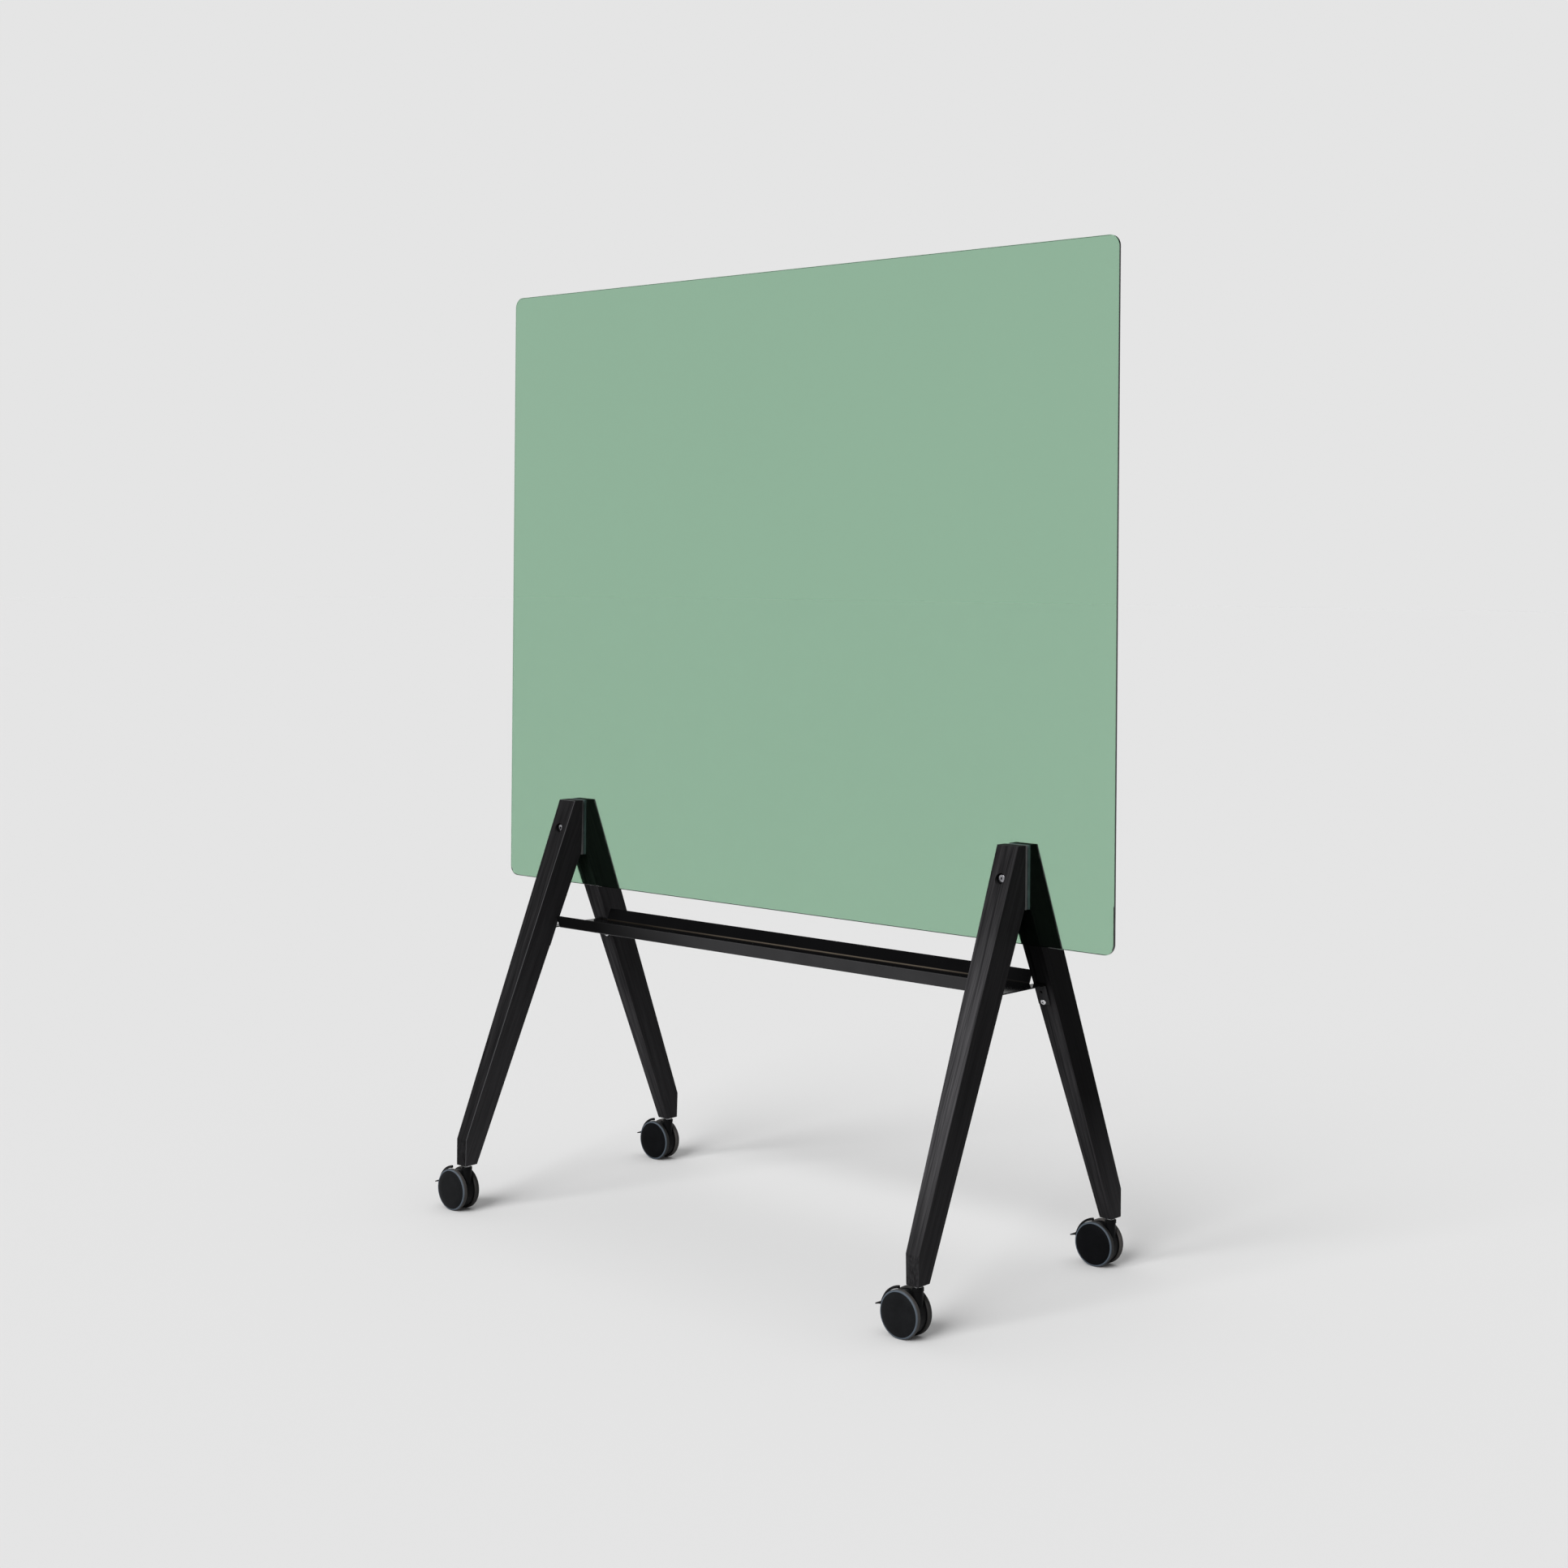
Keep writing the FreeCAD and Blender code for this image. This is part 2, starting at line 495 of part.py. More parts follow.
def hood():
    """Round body between the wheels, with the stem's boss and a slot for the brake lever."""
    half = HOOD_WIDTH / 2
    disc = turned([(0, -half), (HOOD_RADIUS, -half), (HOOD_RADIUS, half), (0, half)], AXLE, Y_AXIS,
                  [0, HOOD_EDGE_RADIUS, HOOD_EDGE_RADIUS, 0])
    root = BOSS_TOP - STEM_ROOT - HOLE_BOTTOM_CLEARANCE
    shoulder = WHEEL_DIAMETER + BOSS_CLEARANCE
    boss_radius = WHEEL_INNER_Y - BOSS_CLEARANCE
    collar_radius = BOSS_COLLAR_DIAMETER / 2
    boss = turned([(0, root), (boss_radius, root), (boss_radius, shoulder), (collar_radius, shoulder),
                   (collar_radius, BOSS_TOP), (0, BOSS_TOP)], Vector(), Z_AXIS,
                  [0, 0, 0, 0, HOOD_EDGE_RADIUS, 0])
    slot_half = LEVER_WEB_WIDTH / 2 + WEB_CLEARANCE
    pivot_room = LEVER_BOSS_DIAMETER / 2 + 2 * WEB_CLEARANCE
    web_length = LEVER_INNER_RADIUS - (HOOD_RADIUS - LEVER_PIN_INSET)
    web_swing = web_length * math.sin(math.radians(LEVER_TRAVEL))
    slot = Part.makeBox(HOOD_RADIUS, 2 * slot_half, 2 * HOOD_RADIUS,
                        LEVER_PIN + Vector(pivot_room - HOOD_RADIUS, -slot_half, -pivot_room - web_swing))
    holes = [
        cylinder(STEM_DIAMETER + 2 * FIT_CLEARANCE, Vector(0, 0, BOSS_TOP - STEM_ROOT), Z_AXIS, STEM_ROOT),
        cylinder(AXLE_DIAMETER + 2 * FIT_CLEARANCE, AXLE - Y_AXIS * half, Y_AXIS, HOOD_WIDTH),
        cylinder(LEVER_PIN_DIAMETER + 2 * FIT_CLEARANCE, LEVER_PIN - Y_AXIS * half, Y_AXIS, HOOD_WIDTH),
        slot,
    ]
    body = disc.fuse(boss).removeSplitter()
    for hole in holes:
        body = body.cut(hole)
    return body


def axle_half_length():
    """End of the axle, short of the outer wall of the wheel's hub."""
    return WHEEL_INNER_Y + WHEEL_WIDTH - AXLE_END_WALL - FIT_CLEARANCE


def axle():
    """Pin that carries both wheels."""
    half = axle_half_length()
    return cylinder(AXLE_DIAMETER, AXLE - Y_AXIS * half, Y_AXIS, 2 * half)


def wheel(facing):
    """Domed disc with a blind hub, recessed on the side of the hood."""
    rim = WHEEL_RADIUS - TREAD_THICKNESS - TREAD_GAP
    bore = AXLE_DIAMETER / 2 + FIT_CLEARANCE
    hub = HUB_DIAMETER / 2
    floor = WHEEL_INNER_Y + WHEEL_RECESS
    blind = WHEEL_INNER_Y + WHEEL_WIDTH - AXLE_END_WALL
    face = WHEEL_INNER_Y + WHEEL_WIDTH
    inside = rim - WHEEL_RIM_WALL
    cap = WHEEL_CAP_DIAMETER / 2
    middle = (cap + rim) / 2
    dome_radius = ((rim - cap) ** 2 + WHEEL_CROWN ** 2) / (2 * WHEEL_CROWN)
    sag = dome_radius - math.sqrt(dome_radius ** 2 - (middle - cap) ** 2)
    points = [(0, blind), (bore, blind), (bore, WHEEL_INNER_Y), (hub, WHEEL_INNER_Y), (hub, floor),
              (inside, floor), (inside, WHEEL_INNER_Y), (rim, WHEEL_INNER_Y), (rim, face)]
    outward = Y_AXIS * facing
    side = square_to(outward)
    place = [AXLE + side * radius + outward * height for radius, height in points]
    crown = AXLE + outward * (face + WHEEL_CROWN)
    cap_edge = crown + side * cap
    bulge = crown + side * middle - outward * sag
    edges = [Part.LineSegment(a, b).toShape() for a, b in zip(place, place[1:])]
    edges.append(Part.Arc(place[-1], bulge, cap_edge).toShape())
    edges.append(Part.LineSegment(cap_edge, crown).toShape())
    edges.append(Part.LineSegment(crown, place[0]).toShape())
    return Part.Face(Part.Wire(edges)).revolve(AXLE, outward, 360)


def tread(facing):
    """Soft ring round the disc, with rounded shoulders."""
    inner = WHEEL_RADIUS - TREAD_THICKNESS
    low, high = WHEEL_INNER_Y, WHEEL_INNER_Y + WHEEL_WIDTH
    shoulder = min(TREAD_SHOULDER, TREAD_THICKNESS, WHEEL_WIDTH / 2)
    return turned([(inner, low), (WHEEL_RADIUS, low), (WHEEL_RADIUS, high), (inner, high)], AXLE,
                  Y_AXIS * facing, [0, shoulder, shoulder, 0])


def lever_arc(start, end, width, inner, outer, rise):
    """Curved plate over the treads, between two radii, from the lever's front side.

    The outer face of its start stands further out by the rise.
    """
    side = -LEVER_WIDTH / 2
    stops = ((start, rise), ((start + end) / 2, rise / 2), (end, 0.0))
    rim = [about_axle(outer + lift, angle, side) for angle, lift in stops]
    back = [about_axle(inner, angle, side) for angle, _ in reversed(stops)]
    edges = [
        Part.Arc(*rim).toShape(),
        Part.LineSegment(rim[-1], back[0]).toShape(),
        Part.Arc(*back).toShape(),
        Part.LineSegment(back[-1], rim[0]).toShape(),
    ]
    return Part.Face(Part.Wire(edges)).extrude(Y_AXIS * width)


def brake_lever():
    """Curved lever over both treads, with a narrow arm, a beak for the foot and a web to its pin."""
    half = LEVER_WIDTH / 2
    plate = lever_arc(LEVER_START_ANGLE, LEVER_END_ANGLE, LEVER_WIDTH, LEVER_INNER_RADIUS,
                      LEVER_OUTER_RADIUS, 0.0)
    arm = lever_arc(LEVER_ARM_ANGLE, LEVER_START_ANGLE + LEVER_ARM_ROOT, LEVER_ARM_WIDTH,
                    WHEEL_RADIUS + LEVER_ARM_CLEARANCE, LEVER_OUTER_RADIUS - LEVER_ARM_STEP, LEVER_ARM_RISE)
    middle_radius = (LEVER_INNER_RADIUS + LEVER_OUTER_RADIUS) / 2
    tip = about_axle(WHEEL_RADIUS + LEVER_TIP_REACH, LEVER_TIP_ANGLE, -half)
    beak = prism([
        about_axle(middle_radius, LEVER_END_ANGLE - LEVER_BEAK_ANGLE, -half),
        tip + Z_AXIS * LEVER_TIP_THICKNESS / 2,
        tip - Z_AXIS * LEVER_TIP_THICKNESS / 2,
        about_axle(LEVER_INNER_RADIUS, LEVER_END_ANGLE, -half),
    ], Y_AXIS * LEVER_WIDTH)
    web_half = LEVER_WEB_WIDTH / 2
    pin_side = Vector(0, 0, LEVER_BOSS_DIAMETER / 2)
    pivot = LEVER_PIN - Y_AXIS * web_half
    web = prism([
        about_axle(middle_radius, LEVER_END_ANGLE - LEVER_WEB_ANGLE, -web_half),
        about_axle(middle_radius, LEVER_END_ANGLE, -web_half),
        pivot - pin_side,
        pivot + pin_side,
    ], Y_AXIS * LEVER_WEB_WIDTH)
    web = web.fuse(cylinder(LEVER_BOSS_DIAMETER, pivot, Y_AXIS, LEVER_WEB_WIDTH))
    lever = plate.fuse([arm, beak, web]).removeSplitter()
    return lever.cut(cylinder(LEVER_PIN_DIAMETER + 2 * FIT_CLEARANCE, pivot, Y_AXIS, LEVER_WEB_WIDTH))


def brake_pin():
    """Pin of the brake lever, flush with the hood."""
    return cylinder(LEVER_PIN_DIAMETER, LEVER_PIN - Y_AXIS * HOOD_WIDTH / 2, Y_AXIS, HOOD_WIDTH)


def castor(row):
    """Pieces of one castor of a row, about its stem."""
    outer, inner = row, -row
    return {
        "socket": socket(),
        "stem": stem(),
        "hood": hood(),
        "axle": axle(),
        "outer_wheel": wheel(outer),
        "outer_tread": tread(outer),
        "inner_wheel": wheel(inner),
        "inner_tread": tread(inner),
        "brake_lever": brake_lever(),
        "brake_pin": brake_pin(),
    }


def whiteboard():
    """Every node of the part by name."""
    nodes = {"glass_pane": glass_pane(), "marker_tray": marker_tray()}
    legs = {row: bolted_leg(row) for row in (FRONT, REAR)}
    castors = {row: castor(row) for row in (FRONT, REAR)}
    for name, (side, row) in CORNERS.items():
        nodes[name + "_leg"] = mirrored(legs[row], side, REAR)
        nodes[name + "_pad"] = mirrored(clamp_pad(), side, row)
        for piece, shape in castors[row].items():
            placed = shape.copy()
            placed.translate(Vector(side * STEM_X, row * STEM_Y, 0))
            nodes[name + "_" + piece] = placed
    pairs = {"clamp_bolts": clamp_bolt, "clamp_nuts": clamp_nut, "glass_bushes": glass_bush}
    for name, make in pairs.items():
        nodes[name] = Part.makeCompound([mirrored(make(), side, REAR) for side in (LEFT, RIGHT)])
    fours = {"tray_screws": tray_screw, "leg_inserts": leg_insert}
    for name, make in fours.items():
        nodes[name] = Part.makeCompound([mirrored(make(), side, row) for side, row in CORNERS.values()])
    return nodes


os.makedirs("parts", exist_ok=True)
for node, solid in whiteboard().items():
    solid.exportStep(os.path.join("parts", node + ".step"))
    print(node, len(solid.Solids), solid.isValid(), round(solid.Volume))
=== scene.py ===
"""Looks of the glass whiteboard: a finish for every piece, turned wheels and treads, studio and camera.

Metres, in the frame of the model: X along the glass, Y from front to back, Z up, the floor at Z = 0.
"""

import logging
import math
from dataclasses import dataclass, field
from enum import Enum
from typing import Any, Iterable, Sequence

import bpy
import numpy as np
from mathutils import Matrix, Vector


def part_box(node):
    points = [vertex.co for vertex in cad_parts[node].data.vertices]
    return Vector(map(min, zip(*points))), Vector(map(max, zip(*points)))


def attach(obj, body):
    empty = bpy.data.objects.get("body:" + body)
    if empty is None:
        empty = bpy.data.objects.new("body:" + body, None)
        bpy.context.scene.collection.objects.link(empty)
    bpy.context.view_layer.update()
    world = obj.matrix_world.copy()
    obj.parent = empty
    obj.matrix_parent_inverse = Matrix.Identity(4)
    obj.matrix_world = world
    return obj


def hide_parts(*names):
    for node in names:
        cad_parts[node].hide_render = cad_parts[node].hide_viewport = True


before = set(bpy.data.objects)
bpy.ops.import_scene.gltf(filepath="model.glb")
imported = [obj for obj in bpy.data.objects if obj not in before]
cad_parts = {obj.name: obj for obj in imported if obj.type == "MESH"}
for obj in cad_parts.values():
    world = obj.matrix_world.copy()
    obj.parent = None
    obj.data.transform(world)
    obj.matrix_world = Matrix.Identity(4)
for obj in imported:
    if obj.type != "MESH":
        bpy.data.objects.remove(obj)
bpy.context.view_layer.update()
LOG = logging.getLogger("whiteboard")

Colour = tuple[float, float, float]
Range = tuple[float, float]
MM = 0.001
WHITE: Colour = (1.0, 1.0, 1.0)
MOST_NOISE: Range = (0.3, 0.7)  # nearly all values of a noise lie between these
SIDE_VALUE = "side_value"
LEG_LEAN = 22.9  # degrees from upright
SHARP_ANGLE = 38.0  # degrees between faces from which an edge looks sharp
EDGE_SAMPLES = 6  # rays that look for a sharp edge
CORNER_SAMPLES = 8  # rays that look for a corner
TINY = 1e-6


class Row(Enum):
    """Front or rear legs; the value is the sign of their Y."""

    FRONT = -1
    REAR = 1


class Side(Enum):
    """Left or right A-frame; the value is the sign of its X."""

    LEFT = -1
    RIGHT = 1


class Place(Enum):
    """The two wheels of a castor, outside and inside of the stand."""

    OUTER = "outer"
    INNER = "inner"


def corner_name(row: Row, side: Side) -> str:
    """Name of a corner of the stand, as the nodes have it."""
    return f"{row.name}_{side.name}".lower()


class Graph:
    """Node tree of a material or of the world, with the few moves that the finishes and the studio need."""

    def __init__(self, owner: bpy.types.ID, output: str = "ShaderNodeOutputMaterial") -> None:
        """Start an empty tree with its output.

        Args:
            owner: the material or the world.
            output: Blender's type of its output.
        """
        owner.use_nodes = True
        self.tree = owner.node_tree
        self.tree.nodes.clear()
        self.output = self.add(output)

    def add(self, kind: str, settings: dict[str, Any] | None = None, **sockets: Any) -> bpy.types.Node:
        """Add a node.

        Args:
            kind: Blender's type of the node.
            settings: attributes of the node itself.
            **sockets: values or output sockets for its inputs, with _ for a blank in the name.

        Returns:
            The new node.
        """
        node = self.tree.nodes.new(kind)
        for key, value in (settings or {}).items():
            setattr(node, key, value)
        for key, value in sockets.items():
            self.feed(node.inputs[key.replace("_", " ")], value)
        return node

    def feed(self, socket: bpy.types.NodeSocket, value: Any) -> None:
        """Link or set one input.

        Args:
            socket: the input.
            value: an output socket to link, or a plain value.
        """
        if isinstance(value, bpy.types.NodeSocket):
            self.tree.links.new(value, socket)
        elif isinstance(value, tuple) and len(value) == 3 and socket.type == "RGBA":
            socket.default_value = (*value, 1.0)
        else:
            socket.default_value = value

    def place(self, stretch: Sequence[float] = (1, 1, 1), lean: float = 0.0) -> bpy.types.NodeSocket:
        """Object coordinates, turned about X and stretched.

        Args:
            stretch: factor along each axis after the turn.
            lean: turn about X in degrees.

        Returns:
            The vector to feed to a texture.
        """
        source = self.add("ShaderNodeTexCoord").outputs["Object"]
        turned = self.add("ShaderNodeMapping", Vector=source, Rotation=(math.radians(lean), 0, 0))
        return self.add("ShaderNodeMapping", Vector=turned.outputs[0], Scale=tuple(stretch)).outputs[0]

    def parts(self, vector: bpy.types.NodeSocket) -> Any:
        """X, Y and Z of a vector, by these names."""
        return self.add("ShaderNodeSeparateXYZ", Vector=vector).outputs

    def normal(self) -> bpy.types.NodeSocket:
        """The way that the surface faces."""
        return self.add("ShaderNodeNewGeometry").outputs["Normal"]

    def noise(self, vector: bpy.types.NodeSocket, scale: float, detail: float,
              rough: float = 0.5) -> bpy.types.NodeSocket:
        """Grey noise from 0 to 1, with the scale in cycles per metre and the detail in octaves."""
        node = self.add("ShaderNodeTexNoise", Vector=vector, Scale=scale, Detail=detail, Roughness=rough)
        return node.outputs["Fac"]

    def ramp(self, value: bpy.types.NodeSocket, low: float, high: float, dark: Colour,
             light: Colour) -> bpy.types.NodeSocket:
        """Colour that goes from dark to light between two values.

        Args:
            value: the driving value.
            low: value at which it is dark.
            high: value at which it is light.
            dark: first colour.
            light: second colour.

        Returns:
            The colour.
        """
        node = self.add("ShaderNodeValToRGB", Fac=value)
        first, last = node.color_ramp.elements
        first.position, first.color = low, (*dark, 1.0)
        last.position, last.color = high, (*light, 1.0)
        return node.outputs["Color"]

    def span(self, value: bpy.types.NodeSocket, start: Any, end: Any, low: float = 0.0,
             high: float = 1.0) -> bpy.types.NodeSocket:
        """Result that goes from start to end while a value goes from low to high, and is held beyond."""
        return self.add("ShaderNodeMapRange", Value=value, From_Min=low, From_Max=high, To_Min=start,
                        To_Max=end).outputs[0]

    def calc(self, operation: str, *values: Any, clamp: bool = False) -> bpy.types.NodeSocket:
        """Result of a math node.

        Args:
            operation: Blender's name of the operation.
            *values: its inputs in order.
            clamp: whether the result is kept from 0 to 1.

        Returns:
            The result.
        """
        node = self.add("ShaderNodeMath", {"operation": operation, "use_clamp": clamp})
        for socket, value in zip(node.inputs, values):
            self.feed(socket, value)
        return node.outputs[0]

    def scaled(self, colour: bpy.types.NodeSocket, factor: Any) -> bpy.types.NodeSocket:
        """A colour of the tree times a factor."""
        return self.add("ShaderNodeVectorMath", {"operation": "SCALE"}, Vector=colour, Scale=factor).outputs[0]

    def mix(self, share: Any, first: Any, second: Any) -> bpy.types.NodeSocket:
        """Two values mixed.

        Args:
            share: share of the second.
            first: first value.
            second: second value.

        Returns:
            The mixed value.
        """
        node = self.add("ShaderNodeMix", {"data_type": "FLOAT"})
        for index, value in ((0, share), (2, first), (3, second)):  # 2 and 3 are the inputs for numbers
            self.feed(node.inputs[index], value)
        return node.outputs[0]

    def bump(self, height: bpy.types.NodeSocket, depth: float, strength: float,
             edge: float = 0.0) -> bpy.types.NodeSocket:
        """Normal from a height.

        Args:
            height: height from 0 to 1.
            depth: depth of 1, in metres.
            strength: share of it that shows.
            edge: radius by which sharp edges look rounded, in metres.

        Returns:
            The normal.
        """
        node = self.add("ShaderNodeBump", Height=height, Distance=depth, Strength=strength)
        if edge > 0:
            bevel = self.add("ShaderNodeBevel", {"samples": EDGE_SAMPLES}, Radius=edge)
            self.feed(node.inputs["Normal"], bevel.outputs[0])
        return node.outputs[0]

    def recess(self, reach: float) -> bpy.types.NodeSocket:
        """1 in the open, and less in holes and corners whose walls are within a reach, in metres."""
        return self.add("ShaderNodeAmbientOcclusion", {"samples": CORNER_SAMPLES}, Distance=reach).outputs["AO"]

    def attribute(self, name: str) -> bpy.types.NodeSocket:
        """A value stored on the mesh, by the name of its attribute."""
        return self.add("ShaderNodeAttribute", {"attribute_name": name}).outputs["Fac"]

    def blend_colour(self, share: Any, first: Any, second: Any, blend: str = "MIX") -> bpy.types.NodeSocket:
        """Two colours blended.

        Args:
            share: share of the second.
            first: first colour.
            second: second colour.
            blend: way of blending.

        Returns:
            The colour.
        """
        node = self.add("ShaderNodeMix", {"data_type": "RGBA", "blend_type": blend})
        for index, value in ((0, share), (6, first), (7, second)):  # 6 and 7 are the inputs for colours
            self.feed(node.inputs[index], value)
        return node.outputs[2]

    def finish(self, shader: bpy.types.Node, end: str = "Surface") -> None:
        """Link a shader to the output, as its surface or its volume."""
        self.tree.links.new(shader.outputs[0], self.output.inputs[end])

    def surface(self, **sockets: Any) -> None:
        """Principled surface with these inputs, linked to the output."""
        self.finish(self.add("ShaderNodeBsdfPrincipled", **sockets))


@dataclass(frozen=True)
class Finish:
    """A surface finish, made into a material once."""

    name: str

    def wire(self, graph: Graph) -> None:
        """Wire the nodes of the finish into a graph."""
        raise NotImplementedError

    def material(self) -> bpy.types.Material:
        """Make the material, or find it if it is made.

        Returns:
            The material of this finish.
        """
        made = bpy.data.materials.get(self.name)
        if made is None:
            made = bpy.data.materials.new(self.name)
            self.wire(Graph(made))
        return made


def times(colour: Colour, factor: float) -> Colour:
    """A colour times a factor."""
    return tuple(part * factor for part in colour)


@dataclass(frozen=True)
class TintedGlass(Finish):
    """Green float glass: part of the tint lies on the faces, and the rest deepens towards the edges."""

    face_tint: Colour = (0.505, 0.690, 0.555)
    body_tint: Colour = (0.60, 0.78, 0.66)
    body_density: float = 160.0
    ior: float = 1.5
    gloss: float = 0.02
    wipe_scale: float = 5.0
    wipe_stretch: tuple[float, float, float] = (1, 1, 0.35)
    wipe_tone: float = 1.008
    wipe_rough: float = 0.004

    def wire(self, graph: Graph) -> None:
        """Clear faces with a trace of wiping, over an absorbing body.

        Args:
            graph: tree to wire.
        """
        wipe = graph.noise(graph.place(self.wipe_stretch), self.wipe_scale, detail=3.0)
        tint = graph.ramp(wipe, *MOST_NOISE, self.face_tint, times(self.face_tint, self.wipe_tone))
        graph.surface(Base_Color=tint, Roughness=graph.span(wipe, 0.0, self.wipe_rough),
                      Transmission_Weight=1.0, IOR=self.ior, Specular_IOR_Level=self.gloss)
        body = graph.add("ShaderNodeVolumeAbsorption", Color=self.body_tint, Density=self.body_density)
        graph.finish(body, "Volume")


@dataclass(frozen=True)
class StainedWood(Finish):
    """Black stained ash whose fibres run along a leg that leans by an angle, with painted light and shade per leg.

    Faces are told apart by how much their normal points along Y: the front and back do so most, the sides least,
    and the rounded edges lie between. The front and back show more grain than the sides. Each face of each leg has
    a painted tone for how the light falls on it: a side's tone is painted lighter towards the foot, and the front
    and back take a painted highlight about a middle height. A painted highlight runs along the edges, and painted
    shade darkens the face that looks between the legs above the tray. Tones are factors on the stained grain, and
    heights are in metres.
    """

    lean: float
    # painted light: tone of the front and back of this leg, for how the light falls on them
    face_light_tone: float
    # painted highlight on the front and back about the middle height
    middle_highlight_tone: float
    dark: Colour = (0.0085, 0.0083, 0.0089)
    light: Colour = (0.0290, 0.0282, 0.0296)
    # painted light: tone of the sides of this leg, for how the light falls on them
    side_light_tone: float = 1.0
    # painted light from the floor: the sides are painted paler towards the foot
    foot_light_tone: float = 1.7
    foot_height: float = 0.10
    foot_reach: float = 0.40
    middle_height: float = 0.42
    middle_reach: Range = (0.05, 0.33)
    # painted shade on the face that looks between the legs, above the tray
    tray_shade_tone: float = 1.0
    tray_heights: Range = (0.49, 0.535)
    # painted highlight along the rounded edges
    edge_highlight: float = 0.06
    edge_highlight_colour: Colour = (0.150, 0.150, 0.156)
    edge_starts: Range = (0.10, 0.30)
    edge_ends: Range = (0.64, 0.84)
    face_starts: Range = (0.45, 0.75)
    side_grain: Range = (0.2, 0.8)
    face_grain: Range = (0.38, 0.64)
    fibre_scale: float = 420.0
    fibre_stretch: float = 0.02
    fibre_share: float = 0.5
    streak_scale: float = 130.0
    streak_stretch: float = 0.03
    relief: float = 0.25 * MM
    # painted shade on the wood beside other pieces, found by ambient occlusion
    corner_reach: float = 5.0 * MM
    corner_shade_tone: float = 0.25
    corner_open: Range = (0.45, 0.95)
    rough: Range = (0.62, 0.44)
    gloss: float = 0.012

    def wire(self, graph: Graph) -> None:
        """Pores and streaks drawn out along the leg, toned by face and height with painted light, and with painted
        shade beside other pieces.

        Args:
            graph: tree to wire.
        """
        fibre = graph.noise(graph.place((1, 1, self.fibre_stretch), self.lean), self.fibre_scale, detail=3.0,
                            rough=0.6)
        streak = graph.noise(graph.place((1, 1, self.streak_stretch), self.lean), self.streak_scale, detail=4.0,
                             rough=0.55)
        figure = graph.mix(self.fibre_share, streak, fibre)
        height = graph.parts(graph.place())["Z"]
        across = graph.parts(graph.normal())["Y"]
        facing = graph.calc("ABSOLUTE", across)
        on_face = graph.span(facing, 0.0, 1.0, *self.face_starts)
        grain = graph.blend_colour(on_face, graph.ramp(figure, *self.side_grain, self.dark, self.light),
                                   graph.ramp(figure, *self.face_grain, self.dark, self.light))
        # painted light: the sides' tone rises towards the foot
        side_light = graph.span(height, self.side_light_tone * self.foot_light_tone, self.side_light_tone, self.foot_height,
                              self.foot_reach)
        # painted highlight on the front and back about the middle height
        off_middle = graph.calc("ABSOLUTE", graph.calc("SUBTRACT", height, self.middle_height))
        tone = graph.mix(on_face, side_light,
                         graph.span(off_middle, self.middle_highlight_tone, self.face_light_tone, *self.middle_reach))
        # painted shade on the face that looks between the legs, above the tray
        towards_middle = graph.calc("MULTIPLY", across, math.copysign(1.0, self.lean))
        inward = graph.span(towards_middle, 0.0, 1.0, *self.face_starts)
        tray_shade = graph.mix(inward, 1.0, graph.span(height, 1.0, self.tray_shade_tone, *self.tray_heights))
        # painted shade beside other pieces, found by ambient occlusion
        corner = graph.span(graph.recess(self.corner_reach), self.corner_shade_tone, 1.0, *self.corner_open)
        # the stained grain times the painted light and shade
        grain_with_painted_light = graph.scaled(grain, graph.calc("MULTIPLY", graph.calc("MULTIPLY", tone, tray_shade), corner))
        # painted highlight along the rounded edges
        edge = graph.calc("MULTIPLY", graph.span(facing, 0.0, self.edge_highlight, *self.edge_starts),
                          graph.span(facing, 1.0, 0.0, *self.edge_ends))
        graph.surface(Base_Color=graph.blend_colour(edge, grain_with_painted_light, self.edge_highlight_colour),
                      Roughness=graph.span(figure, *self.rough), Specular_IOR_Level=self.gloss,
                      Normal=graph.bump(figure, self.relief, strength=0.5))


